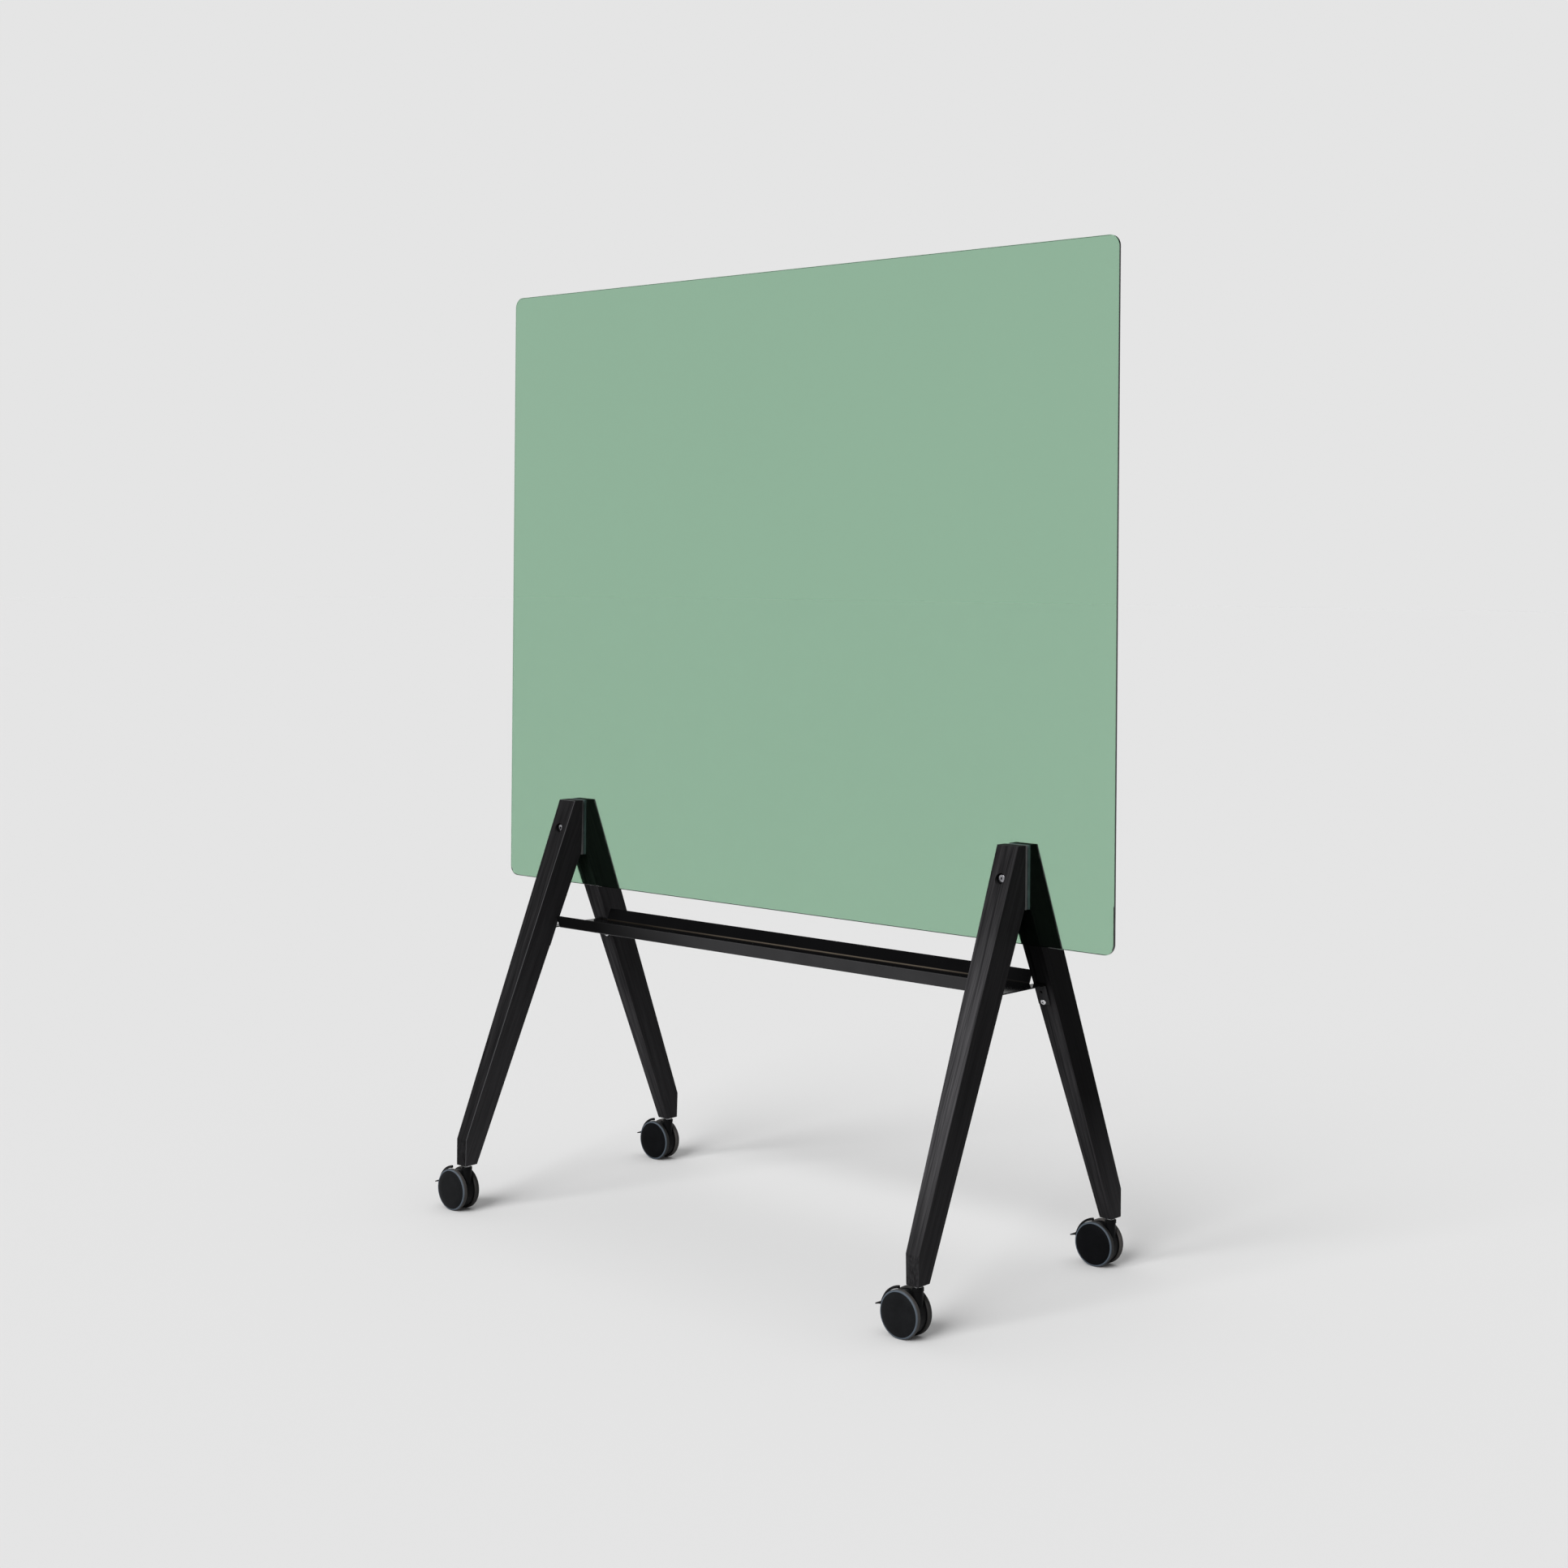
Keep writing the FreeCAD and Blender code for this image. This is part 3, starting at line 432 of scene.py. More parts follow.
@dataclass(frozen=True)
class PowderCoat(Finish):
    """Black satin powder coat on sheet steel, with a fine orange peel, painted blacker inside the tray than
    outside.

    Outside are the faces that look away from the tray's middle line, where normal y times place y is positive, and
    all that hangs below its floor; the paler outside is painted reflection, and the blacker inside painted shade.
    The walls take painted shade near the left end, beside the leg, and a painted highlight runs along the bends
    inside and fades at the right end. Places are in metres.
    """

    # painted reflection and shade: the outside paler, the inside blacker
    inside: Colour = (0.0042, 0.0042, 0.0045)
    outside: Colour = (0.0410, 0.0406, 0.0422)
    outside_starts: Range = (0.004, 0.016)
    underside: float = 0.531
    underside_blur: float = 0.5 * MM
    underside_least: float = 0.6
    # painted shade on the walls near the left end, beside the leg
    left_shade_tone: float = 0.15
    left_end: Range = (-0.42, -0.10)
    # painted highlight along the bends inside
    bend_highlight_colour: Colour = (0.084, 0.070, 0.054)
    bend_y: float = 0.0631
    bend_z: float = 0.5346
    bend_blur: float = 0.3 * MM
    bend_end: Range = (0.30, 0.48)
    bend_highlight_fade: float = 0.05
    cloud_scale: float = 14.0
    cloud_tone: Range = (0.9, 1.1)
    peel_scale: float = 700.0
    peel_depth: float = 0.06 * MM
    edge: float = 0.7 * MM
    rough: Range = (0.10, 0.15)
    gloss: float = 0.03

    def bends(self, graph: Graph, place: Any) -> bpy.types.NodeSocket:
        """1 in the bends where the highlight is painted, low down and far from the middle line, and less towards
        the right end.

        Args:
            graph: tree to add to.
            place: X, Y and Z of the point.

        Returns:
            The factor.
        """
        aside = graph.calc("ABSOLUTE", place["Y"])
        far = graph.span(aside, 0.0, 1.0, self.bend_y - self.bend_blur, self.bend_y + self.bend_blur)
        low = graph.span(place["Z"], 1.0, 0.0, self.bend_z - self.bend_blur, self.bend_z + self.bend_blur)
        fade = graph.span(place["X"], 1.0, self.bend_highlight_fade, *self.bend_end)
        return graph.calc("MULTIPLY", fade, graph.calc("MINIMUM", far, low))

    def wire(self, graph: Graph) -> None:
        """Nearly even tones with painted reflection, shade and highlight, small dimples and a gloss that varies a
        little.

        Args:
            graph: tree to wire.
        """
        peel = graph.noise(graph.place(), self.peel_scale, detail=2.0, rough=0.4)
        cloud = graph.noise(graph.place(), self.cloud_scale, detail=3.0)
        place = graph.parts(graph.place())
        away = graph.calc("MULTIPLY", graph.parts(graph.normal())["Y"], place["Y"])
        below = graph.span(place["Z"], 1.0, 0.0, self.underside - self.underside_blur, self.underside)
        out = graph.calc("MAXIMUM", below, graph.span(away, 0.0, 1.0, *self.outside_starts))
        # painted highlight in the bends inside
        bend_highlight = graph.calc("MULTIPLY", graph.calc("SUBTRACT", 1.0, out), self.bends(graph, place))
        # painted shade near the left end, held at a share below the floor
        left = graph.calc("MAXIMUM", graph.calc("MULTIPLY", below, self.underside_least),
                          graph.span(place["X"], self.left_shade_tone, 1.0, *self.left_end))
        # painted reflection outside and painted shade inside
        coat = graph.blend_colour(bend_highlight, graph.blend_colour(out, self.inside, self.outside), self.bend_highlight_colour)
        tone = graph.calc("MULTIPLY", graph.mix(graph.calc("MAXIMUM", out, bend_highlight), 1.0, left),
                          graph.span(cloud, *self.cloud_tone, *MOST_NOISE))
        graph.surface(Base_Color=graph.scaled(coat, tone), Roughness=graph.span(cloud, *self.rough),
                      Specular_IOR_Level=self.gloss,
                      Normal=graph.bump(peel, self.peel_depth, strength=0.15, edge=self.edge))


@dataclass(frozen=True)
class MouldedPlastic(Finish):
    """Moulded plastic with a spark-eroded grain."""

    colour: Colour = (0.0072, 0.0076, 0.0084)
    tones: Range = (0.62, 1.5)
    tone_starts: Range = (0.35, 0.68)
    grain: float = 1100.0
    cloud: float = 40.0
    cloud_share: float = 0.4
    depth: float = 0.14 * MM
    rough: Range = (0.38, 0.58)
    gloss: float = 0.05

    def wire(self, graph: Graph) -> None:
        """Grain in the height, the colour and the gloss.

        Args:
            graph: tree to wire.
        """
        spot = graph.noise(graph.place(), self.grain, detail=2.0, rough=0.6)
        cloud = graph.noise(graph.place(), self.cloud, detail=3.0)
        tone = graph.mix(self.cloud_share, spot, cloud)
        dark, light = (times(self.colour, factor) for factor in self.tones)
        graph.surface(Base_Color=graph.ramp(tone, *self.tone_starts, dark, light),
                      Roughness=graph.span(spot, *self.rough), Specular_IOR_Level=self.gloss,
                      Normal=graph.bump(spot, self.depth, strength=0.6))


@dataclass(frozen=True)
class SoftRubber(Finish):
    """Matt rubber, a little mottled."""

    colour: Colour
    tones: Range = (0.84, 1.12)
    skin: float = 600.0
    skin_depth: float = 0.05 * MM
    mottle: float = 60.0
    rough: Range = (0.54, 0.72)
    gloss: float = 0.3

    def wire(self, graph: Graph) -> None:
        """Mottled tone over a faint skin texture.

        Args:
            graph: tree to wire.
        """
        skin = graph.noise(graph.place(), self.skin, detail=3.0)
        mottle = graph.noise(graph.place(), self.mottle, detail=4.0, rough=0.6)
        dark, light = (times(self.colour, factor) for factor in self.tones)
        graph.surface(Base_Color=graph.ramp(mottle, *MOST_NOISE, dark, light),
                      Roughness=graph.span(skin, *self.rough), Specular_IOR_Level=self.gloss,
                      Normal=graph.bump(skin, self.skin_depth, strength=0.4))


@dataclass(frozen=True)
class BrightMetal(Finish):
    """Plated or plain metal with fine turning marks."""

    colour: Colour = (0.72, 0.72, 0.74)
    dull_tone: float = 0.88
    dull_starts: Range = (0.3, 0.75)
    cloud: float = 160.0
    marks: float = 1500.0
    marks_stretch: tuple[float, float, float] = (1, 0.12, 1)
    marks_depth: float = 0.02 * MM
    edge: float = 0.4 * MM
    # painted shade down in holes and recesses, found by ambient occlusion
    recess_shade: Colour = (0.03, 0.03, 0.03)
    recess_shade_reach: float = 3.0 * MM
    recess_shade_ends: Range = (0.35, 0.8)
    rough: Range = (0.18, 0.36)

    def wire(self, graph: Graph) -> None:
        """Metal whose tone and gloss vary a little with fine marks, with painted shade down in its recesses.

        Args:
            graph: tree to wire.
        """
        marks = graph.noise(graph.place(self.marks_stretch), self.marks, detail=2.0)
        cloud = graph.noise(graph.place(), self.cloud, detail=3.0)
        clean = graph.ramp(cloud, *self.dull_starts, times(self.colour, self.dull_tone), self.colour)
        # painted shade down in holes and recesses, found by ambient occlusion
        recess_shade = graph.ramp(graph.recess(self.recess_shade_reach), *self.recess_shade_ends, self.recess_shade, WHITE)
        graph.surface(Base_Color=graph.blend_colour(1.0, clean, recess_shade, "MULTIPLY"), Metallic=1.0,
                      Roughness=graph.span(marks, *self.rough),
                      Normal=graph.bump(marks, self.marks_depth, strength=0.3, edge=self.edge))


@dataclass(frozen=True)
class TreadRubber(Finish):
    """Soft tread: a cool grey on the side that shows, and a warmer grey where it runs."""

    side: Colour = (0.082, 0.103, 0.128)
    run: Colour = (0.070, 0.065, 0.062)
    mottle: float = 90.0
    mottle_tone: Colour = (0.82, 0.82, 0.82)
    skin: float = 700.0
    skin_depth: float = 0.05 * MM
    rough: Range = (0.5, 0.68)
    gloss: float = 0.2

    def wire(self, graph: Graph) -> None:
        """Tone from the mesh's side value, mottled, over a faint skin texture.

        Args:
            graph: tree to wire.
        """
        skin = graph.noise(graph.place(), self.skin, detail=3.0)
        mottle = graph.noise(graph.place(), self.mottle, detail=4.0, rough=0.6)
        tone = graph.blend_colour(graph.attribute(SIDE_VALUE), self.run, self.side)
        spots = graph.ramp(mottle, *MOST_NOISE, self.mottle_tone, WHITE)
        graph.surface(Base_Color=graph.blend_colour(1.0, tone, spots, "MULTIPLY"),
                      Roughness=graph.span(skin, *self.rough), Specular_IOR_Level=self.gloss,
                      Normal=graph.bump(skin, self.skin_depth, strength=0.4))


GLASS = TintedGlass("green_float_glass")
# painted light and shade of each leg: tones of its faces and foot, its edge highlight and its shade above the tray
LEG_PAINTED_LIGHT = {
    (Row.FRONT, Side.LEFT): {"side_light_tone": 1.2, "foot_light_tone": 2.3, "foot_reach": 0.62, "face_light_tone": 0.72,
                             "middle_highlight_tone": 0.8, "edge_highlight": 0.6},
    (Row.FRONT, Side.RIGHT): {"face_light_tone": 1.05, "middle_highlight_tone": 2.5},
    (Row.REAR, Side.LEFT): {"side_light_tone": 1.4, "foot_light_tone": 1.3, "foot_reach": 0.46, "face_light_tone": 1.6,
                            "middle_highlight_tone": 2.35},
    (Row.REAR, Side.RIGHT): {"side_light_tone": 0.38, "foot_light_tone": 5.6, "foot_reach": 0.33, "face_light_tone": 1.2,
                             "middle_highlight_tone": 1.75, "tray_shade_tone": 0.2},
}
WOOD = {
    (row, side): StainedWood(f"black_stained_ash_{corner_name(row, side)}", lean=-row.value * LEG_LEAN, **leg_light)
    for (row, side), leg_light in LEG_PAINTED_LIGHT.items()
}
TRAY_COAT = PowderCoat("black_powder_coat")
PAD = {
    Row.FRONT: SoftRubber("grey_clamp_pad", colour=(0.115, 0.116, 0.118)),
    # painted light: the rear pads, seen through the glass, are painted paler and bluer than the front ones
    Row.REAR: SoftRubber("clamp_pad_painted_light", colour=(0.150, 0.155, 0.200)),
}
TREAD = {
    Place.OUTER: TreadRubber("grey_tread_rubber"),
    # painted shade: the inner wheels' treads are darker where they run, in the hood's shade
    Place.INNER: TreadRubber("tread_rubber_painted_shade", run=(0.024, 0.023, 0.022)),
}
DISC_PLASTIC = {
    Row.FRONT: MouldedPlastic("black_disc_nylon"),
    # painted shade: the rear castors' discs are darker than the front ones
    Row.REAR: MouldedPlastic("disc_nylon_painted_shade", colour=(0.0034, 0.0036, 0.0042), gloss=0.03),
}
HOOD_PLASTIC = MouldedPlastic("black_hood_nylon", colour=(0.0028, 0.0029, 0.0032), gloss=0.06, rough=(0.28, 0.48))
LEVER_PLASTIC = MouldedPlastic("black_lever_nylon", colour=(0.0040, 0.0041, 0.0045), gloss=0.12,
                               rough=(0.26, 0.46))
ZINC = BrightMetal("bright_zinc")
BOLT_STEEL = BrightMetal("bolt_steel", colour=(0.34, 0.34, 0.36), rough=(0.14, 0.32))
BRASS = BrightMetal("insert_brass", colour=(0.72, 0.55, 0.28), rough=(0.24, 0.42))
BUSH = MouldedPlastic("natural_nylon", colour=(0.62, 0.61, 0.57), grain=500.0, depth=0.05 * MM)


def placed(name: str, data: bpy.types.ID) -> bpy.types.Object:
    """New object of the scene for a mesh, a camera or a lamp.

    Args:
        name: name of the object.
        data: what it shows.

    Returns:
        The object.
    """
    made = bpy.data.objects.new(name, data)
    bpy.context.scene.collection.objects.link(made)
    return made


def dress(names: Iterable[str], finish: Finish) -> None:
    """Give CAD nodes a finish.

    Args:
        names: names of the nodes.
        finish: their finish.
    """
    for name in names:
        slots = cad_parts[name].data.materials
        slots.clear()
        slots.append(finish.material())
        LOG.info("dressed %s in %s", name, finish.name)


def rounded(corners: Sequence[Sequence[float]], radii: Sequence[float], steps: int = 7) -> np.ndarray:
    """Flat outline whose corners are arcs.

    With unit vectors a and b from a corner to its neighbours and half the angle h between them, the arc's centre
    lies r / sin(h) along the bisector, and its points turn from -(90 - h) to (90 - h) about that centre.

    Args:
        corners: corners in order, round a closed outline.
        radii: radius at each corner, 0 for a sharp one.
        steps: points on each arc.

    Returns:
        The points, one row each, without repeats.
    """
    point, radius = np.asarray(corners, float), np.asarray(radii, float)[:, None, None]
    back, ahead = (np.roll(point, turn, axis=0) - point for turn in (1, -1))
    back, ahead = (v / np.linalg.norm(v, axis=1, keepdims=True) for v in (back, ahead))
    half = np.arccos(np.clip((back * ahead).sum(axis=1), -1.0, 1.0))[:, None] / 2
    inward, across = (v / np.linalg.norm(v, axis=1, keepdims=True) for v in (back + ahead, ahead - back))
    turn = ((np.pi / 2 - half) * np.linspace(-1.0, 1.0, steps))[:, :, None]
    arc = np.sin(turn) * across[:, None, :] - np.cos(turn) * inward[:, None, :]
    centre = point[:, None, :] + inward[:, None, :] * (radius / np.sin(half)[:, :, None])
    run = (centre + radius * arc).reshape(-1, 2)
    return run[np.linalg.norm(run - np.roll(run, 1, axis=0), axis=1) > TINY]


def outward_faces(points: np.ndarray, quads: np.ndarray, fans: np.ndarray) -> list[list[int]]:
    """Faces of a closed shell, turned so that the volume they bound is positive.

    Args:
        points: all the vertices.
        quads: faces of four corners.
        fans: faces of three corners, round the poles.

    Returns:
        All the faces.
    """
    triangles = np.concatenate([quads[:, [0, 1, 2]], quads[:, [0, 2, 3]], fans])
    a, b, c = (points[triangles[:, corner]] for corner in range(3))
    if np.einsum("ij,ij->", a, np.cross(b, c)) < 0:
        quads, fans = quads[:, ::-1], fans[:, ::-1]
    return quads.tolist() + fans.tolist()


def ring_faces(rows: int, count: int, first: int = 0, wrap: bool = False) -> np.ndarray:
    """Quads between neighbouring rings.

    Args:
        rows: number of rings.
        count: points on each ring.
        first: index of the first ring's first point.
        wrap: whether the last ring joins the first.

    Returns:
        Corner indices, four in a row.
    """
    row, step = np.meshgrid(np.arange(rows if wrap else rows - 1), np.arange(count), indexing="ij")
    after, beside = (row + 1) % rows, (step + 1) % count
    return first + np.stack([row * count + step, after * count + step, after * count + beside,
                             row * count + beside], axis=-1).reshape(-1, 4)


def poles(rows: int, count: int) -> np.ndarray:
    """Triangles from the first vertex to the first ring, and from the last vertex to the last ring.

    Args:
        rows: number of rings.
        count: points on each ring.

    Returns:
        Corner indices, three in a row.
    """
    step = np.arange(count)
    beside = (step + 1) % count
    last = 1 + (rows - 1) * count
    near = np.stack([np.zeros(count, int), 1 + step, 1 + beside], axis=-1)
    far = np.stack([np.full(count, last + count), last + beside, last + step], axis=-1)
    return np.concatenate([near, far])


@dataclass
class Shell:
    """Vertices and faces of one or more closed surfaces, in millimetres."""

    points: np.ndarray
    faces: list[list[int]]

    @classmethod
    def turned(cls, profile: np.ndarray, centre: Sequence[float], facing: int, count: int = 144) -> "Shell":
        """Profile turned about an axis along Y.

        A point is centre + r(s) (cos t, 0, sin t) + facing h(s) (0, 1, 0). A profile that starts and ends on the
        axis is closed by a pole at each end, and any other one is a ring.

        Args:
            profile: radius and height of each point.
            centre: point of the axis at height 0.
            facing: 1 where heights run along +Y, or -1.
            count: points round the axis.

        Returns:
            The shell.
        """
        angle = np.linspace(0.0, 2 * np.pi, count, endpoint=False)
        radius, height = profile[:, 0, None], profile[:, 1, None] * np.ones(count)
        grid = np.stack([radius * np.cos(angle), facing * height, radius * np.sin(angle)], axis=-1)
        grid = grid + np.asarray(centre, float)
        if profile[0, 0] > TINY:
            points = grid.reshape(-1, 3)
            quads, fans = ring_faces(len(profile), count, wrap=True), np.empty((0, 3), int)
        else:
            points = np.concatenate([grid[0, :1], grid[1:-1].reshape(-1, 3), grid[-1, :1]])
            quads, fans = ring_faces(len(profile) - 2, count, first=1), poles(len(profile) - 2, count)
        return cls(points, outward_faces(points, quads, fans))

    @classmethod
    def carried(cls, line: np.ndarray, across: np.ndarray, width: np.ndarray, depth: np.ndarray,
                nose: float, count: int = 48, square: float = 5.0) -> "Shell":
        """Rounded oblong section carried along a line, with a round nose at both ends.

        A point is line(t) + width(t)/2 f |cos s|^(2/m) (0, 1, 0) + depth(t)/2 f |sin s|^(2/m) across(t), with
        the signs of cos and sin, m for square, and f = sqrt(1 - (1 - d/nose)^2) at a distance d under the nose's
        length from an end.

        Args:
            line: points of the middle line.
            across: unit vector along the depth at each of them.
            width: width along Y at each of them.
            depth: depth at each of them.
            nose: length of the noses.
            count: points round the section.
            square: 2 for an ellipse, and more for squarer corners.

        Returns:
            The shell.
        """
        run = np.concatenate([[0.0], np.cumsum(np.linalg.norm(np.diff(line, axis=0), axis=1))])
        to_end = np.clip(np.minimum(run, run[-1] - run) / nose, 0.0, 1.0)
        shrink = np.sqrt(1.0 - (1.0 - to_end) ** 2)
        angle = np.linspace(0.0, 2 * np.pi, count, endpoint=False)
        wide, deep = (np.sign(wave) * np.abs(wave) ** (2.0 / square) for wave in (np.cos(angle), np.sin(angle)))
        sideways = (width * shrink / 2)[:, None, None] * wide[None, :, None] * np.array([0.0, 1.0, 0.0])
        upwards = (depth * shrink / 2)[:, None, None] * deep[None, :, None] * across[:, None, :]
        grid = line[:, None, :] + sideways + upwards
        points = np.concatenate([grid[0, :1], grid[1:-1].reshape(-1, 3), grid[-1, :1]])
        rows = len(line) - 2
        return cls(points, outward_faces(points, ring_faces(rows, count, first=1), poles(rows, count)))

    def joined(self, other: "Shell") -> "Shell":
        """This shell and another one in one mesh."""
        moved = [[index + len(self.points) for index in face] for face in other.faces]
        return Shell(np.concatenate([self.points, other.points]), self.faces + moved)

    def piece(self, name: str, body: str, node: str, slot: str, finish: Finish,
              side_value: np.ndarray | None = None) -> None:
        """Make the mesh, which rides on a body in place of a CAD node.

        Args:
            name: name of the piece.
            body: body that it rides on.
            node: CAD node that it stands for.
            slot: not used.
            finish: its finish.
            side_value: value of each vertex for the finish, if it reads one.
        """
        mesh = bpy.data.meshes.new(name)
        mesh.from_pydata((self.points * MM).tolist(), [], self.faces)
        mesh.polygons.foreach_set("use_smooth", np.ones(len(mesh.polygons), bool))
        mesh.set_sharp_from_angle(angle=math.radians(SHARP_ANGLE))
        if side_value is not None:
            mesh.attributes.new(SIDE_VALUE, "FLOAT", "POINT").data.foreach_set("value", side_value)
        mesh.materials.append(finish.material())
        piece = placed(name, mesh)
        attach(piece, body)
        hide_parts(node)
        LOG.info("made %s with %d faces", name, len(self.faces))


def box_mm(node: str) -> np.ndarray:
    """Lowest and highest corners of a CAD node, in millimetres."""
    return np.array(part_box(node), float) / MM


@dataclass
class GlassPane:
    """The pane and the bushes in its holes."""

    node: str = "glass_pane"
    bushes: str = "glass_bushes"

    def dress(self) -> None:
        """Tint the glass and let the light pass it, so that it throws no caustics."""
        dress([self.node], GLASS)
        dress([self.bushes], BUSH)
        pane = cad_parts[self.node]
        pane.visible_shadow = False
        pane.visible_diffuse = False


@dataclass
class AFrame:
    """The two legs of one side with their pads."""

    side: Side

    def dress(self) -> None:
        """Stain each leg along its own lean and colour its pad."""
        for row in Row:
            corner = corner_name(row, self.side)
            dress([f"{corner}_leg"], WOOD[row, self.side])
            dress([f"{corner}_pad"], PAD[row])


@dataclass
class Clamps:
    """Bolts and nuts that hold the glass between the legs."""

    nodes: tuple[str, ...] = ("clamp_bolts", "clamp_nuts")

    def dress(self) -> None:
        """Give them plain bright steel."""
        dress(self.nodes, BOLT_STEEL)


@dataclass
class MarkerTray:
    """The folded tray with its screws and their inserts."""

    sheet: str = "marker_tray"
    screws: str = "tray_screws"
    inserts: str = "leg_inserts"

    def dress(self) -> None:
        """Coat the sheet and plate the screws."""
        dress([self.sheet], TRAY_COAT)
        dress([self.screws], ZINC)
        dress([self.inserts], BRASS)


@dataclass
class Wheel:
    """A wheel of a castor: a moulded disc like a flat pillow, and its soft tread. Sizes in millimetres."""

    corner: str
    place: Place
    plastic: Finish
    tread: float = 3.4
    tread_edge: float = 0.04
    shoulder: float = 3.1
    run_drop: float = 0.15
    run_round: float = 30.0
    gap: float = 0.1
    crown: float = 2.2
    cap: float = 24.0
    cap_rows: int = 7
    crown_rows: int = 22
    rim_wall: float = 2.5
    hub: float = 8.0
    bore: float = 4.05
    recess: float = 5.0
    end_wall: float = 3.0
    edge: float = 0.5
    back_edge: float = 0.4
    recess_fillet: float = 0.8
    bore_edge: float = 0.3

    def __post_init__(self) -> None:
        """Find the axle, the radius, the width and the way that the wheel faces from its CAD tread."""
        low, high = box_mm(f"{self.corner}_{self.place.value}_tread")
        hood = box_mm(f"{self.corner}_hood").mean(axis=0)
        middle = (low + high) / 2
        self.radius = (high[2] - low[2]) / 2
        self.width = high[1] - low[1]
        self.facing = 1 if middle[1] > hood[1] else -1
        self.centre = middle - np.array([0.0, self.facing * self.width / 2, 0.0])

    def disc_profile(self) -> np.ndarray:
        """Outline of the disc from the middle of its face round to the blind end of its bore.

        The face is flat up to the cap, and then an arc of radius (l^2 + c^2) / 2c, with l from the cap to the rim
        and c for the crown.

        Returns:
            Radius and height of each point, heights from the side of the hood.
        """
        rim = self.radius - self.tread - self.gap
        length = rim - self.edge - self.cap
        arc = (length ** 2 + self.crown ** 2) / (2 * self.crown)
        radius = np.concatenate([np.linspace(0.0, self.cap, self.cap_rows)[:-1],
                                 np.linspace(self.cap, rim - self.edge, self.crown_rows)])
        drop = arc - np.sqrt(arc ** 2 - np.clip(radius - self.cap, 0.0, None) ** 2)
        face = np.stack([radius, self.width + self.crown - drop], axis=1)
        inside, blind = rim - self.rim_wall, self.width - self.end_wall
        back = rounded([(0.0, self.width), (rim, self.width), (rim, 0.0), (inside, 0.0), (inside, self.recess),
                        (self.hub, self.recess), (self.hub, 0.0), (self.bore, 0.0), (self.bore, blind),
                        (0.0, blind)],
                       [0.0, self.edge, self.back_edge, self.back_edge, self.recess_fillet, self.recess_fillet,
                        self.back_edge, self.bore_edge, 0.0, 0.0])
        return np.concatenate([face, back[1:]])

    def tread_profile(self) -> np.ndarray:
        """Outline of the tread: an oblong with round shoulders and a slightly crowned run.

        Returns:
            Radius and height of each point, heights from the side of the hood.
        """
        seat, run = self.radius - self.tread, self.radius - self.run_drop
        return rounded([(seat, 0.0), (run, 0.0), (self.radius, self.width / 2), (run, self.width),
                        (seat, self.width)],
                       [self.tread_edge, self.shoulder, self.run_round, self.shoulder, self.tread_edge])

    def build(self) -> None:
        """Turn the disc and the tread."""
        name = f"{self.corner}_{self.place.value}"
        body = f"{name}_roller"
        Shell.turned(self.disc_profile(), self.centre, self.facing).piece(
            f"{name}_disc", body, f"{name}_wheel", "castor_nylon", self.plastic)
        tread = Shell.turned(self.tread_profile(), self.centre, self.facing)
        height = (tread.points[:, 1] - self.centre[1]) * self.facing
        side = np.clip((height - self.width + self.shoulder) / self.shoulder, 0.0, 1.0)
        tread.piece(f"{name}_ring", body, f"{name}_tread", "tread_rubber", TREAD[self.place], side_value=side)


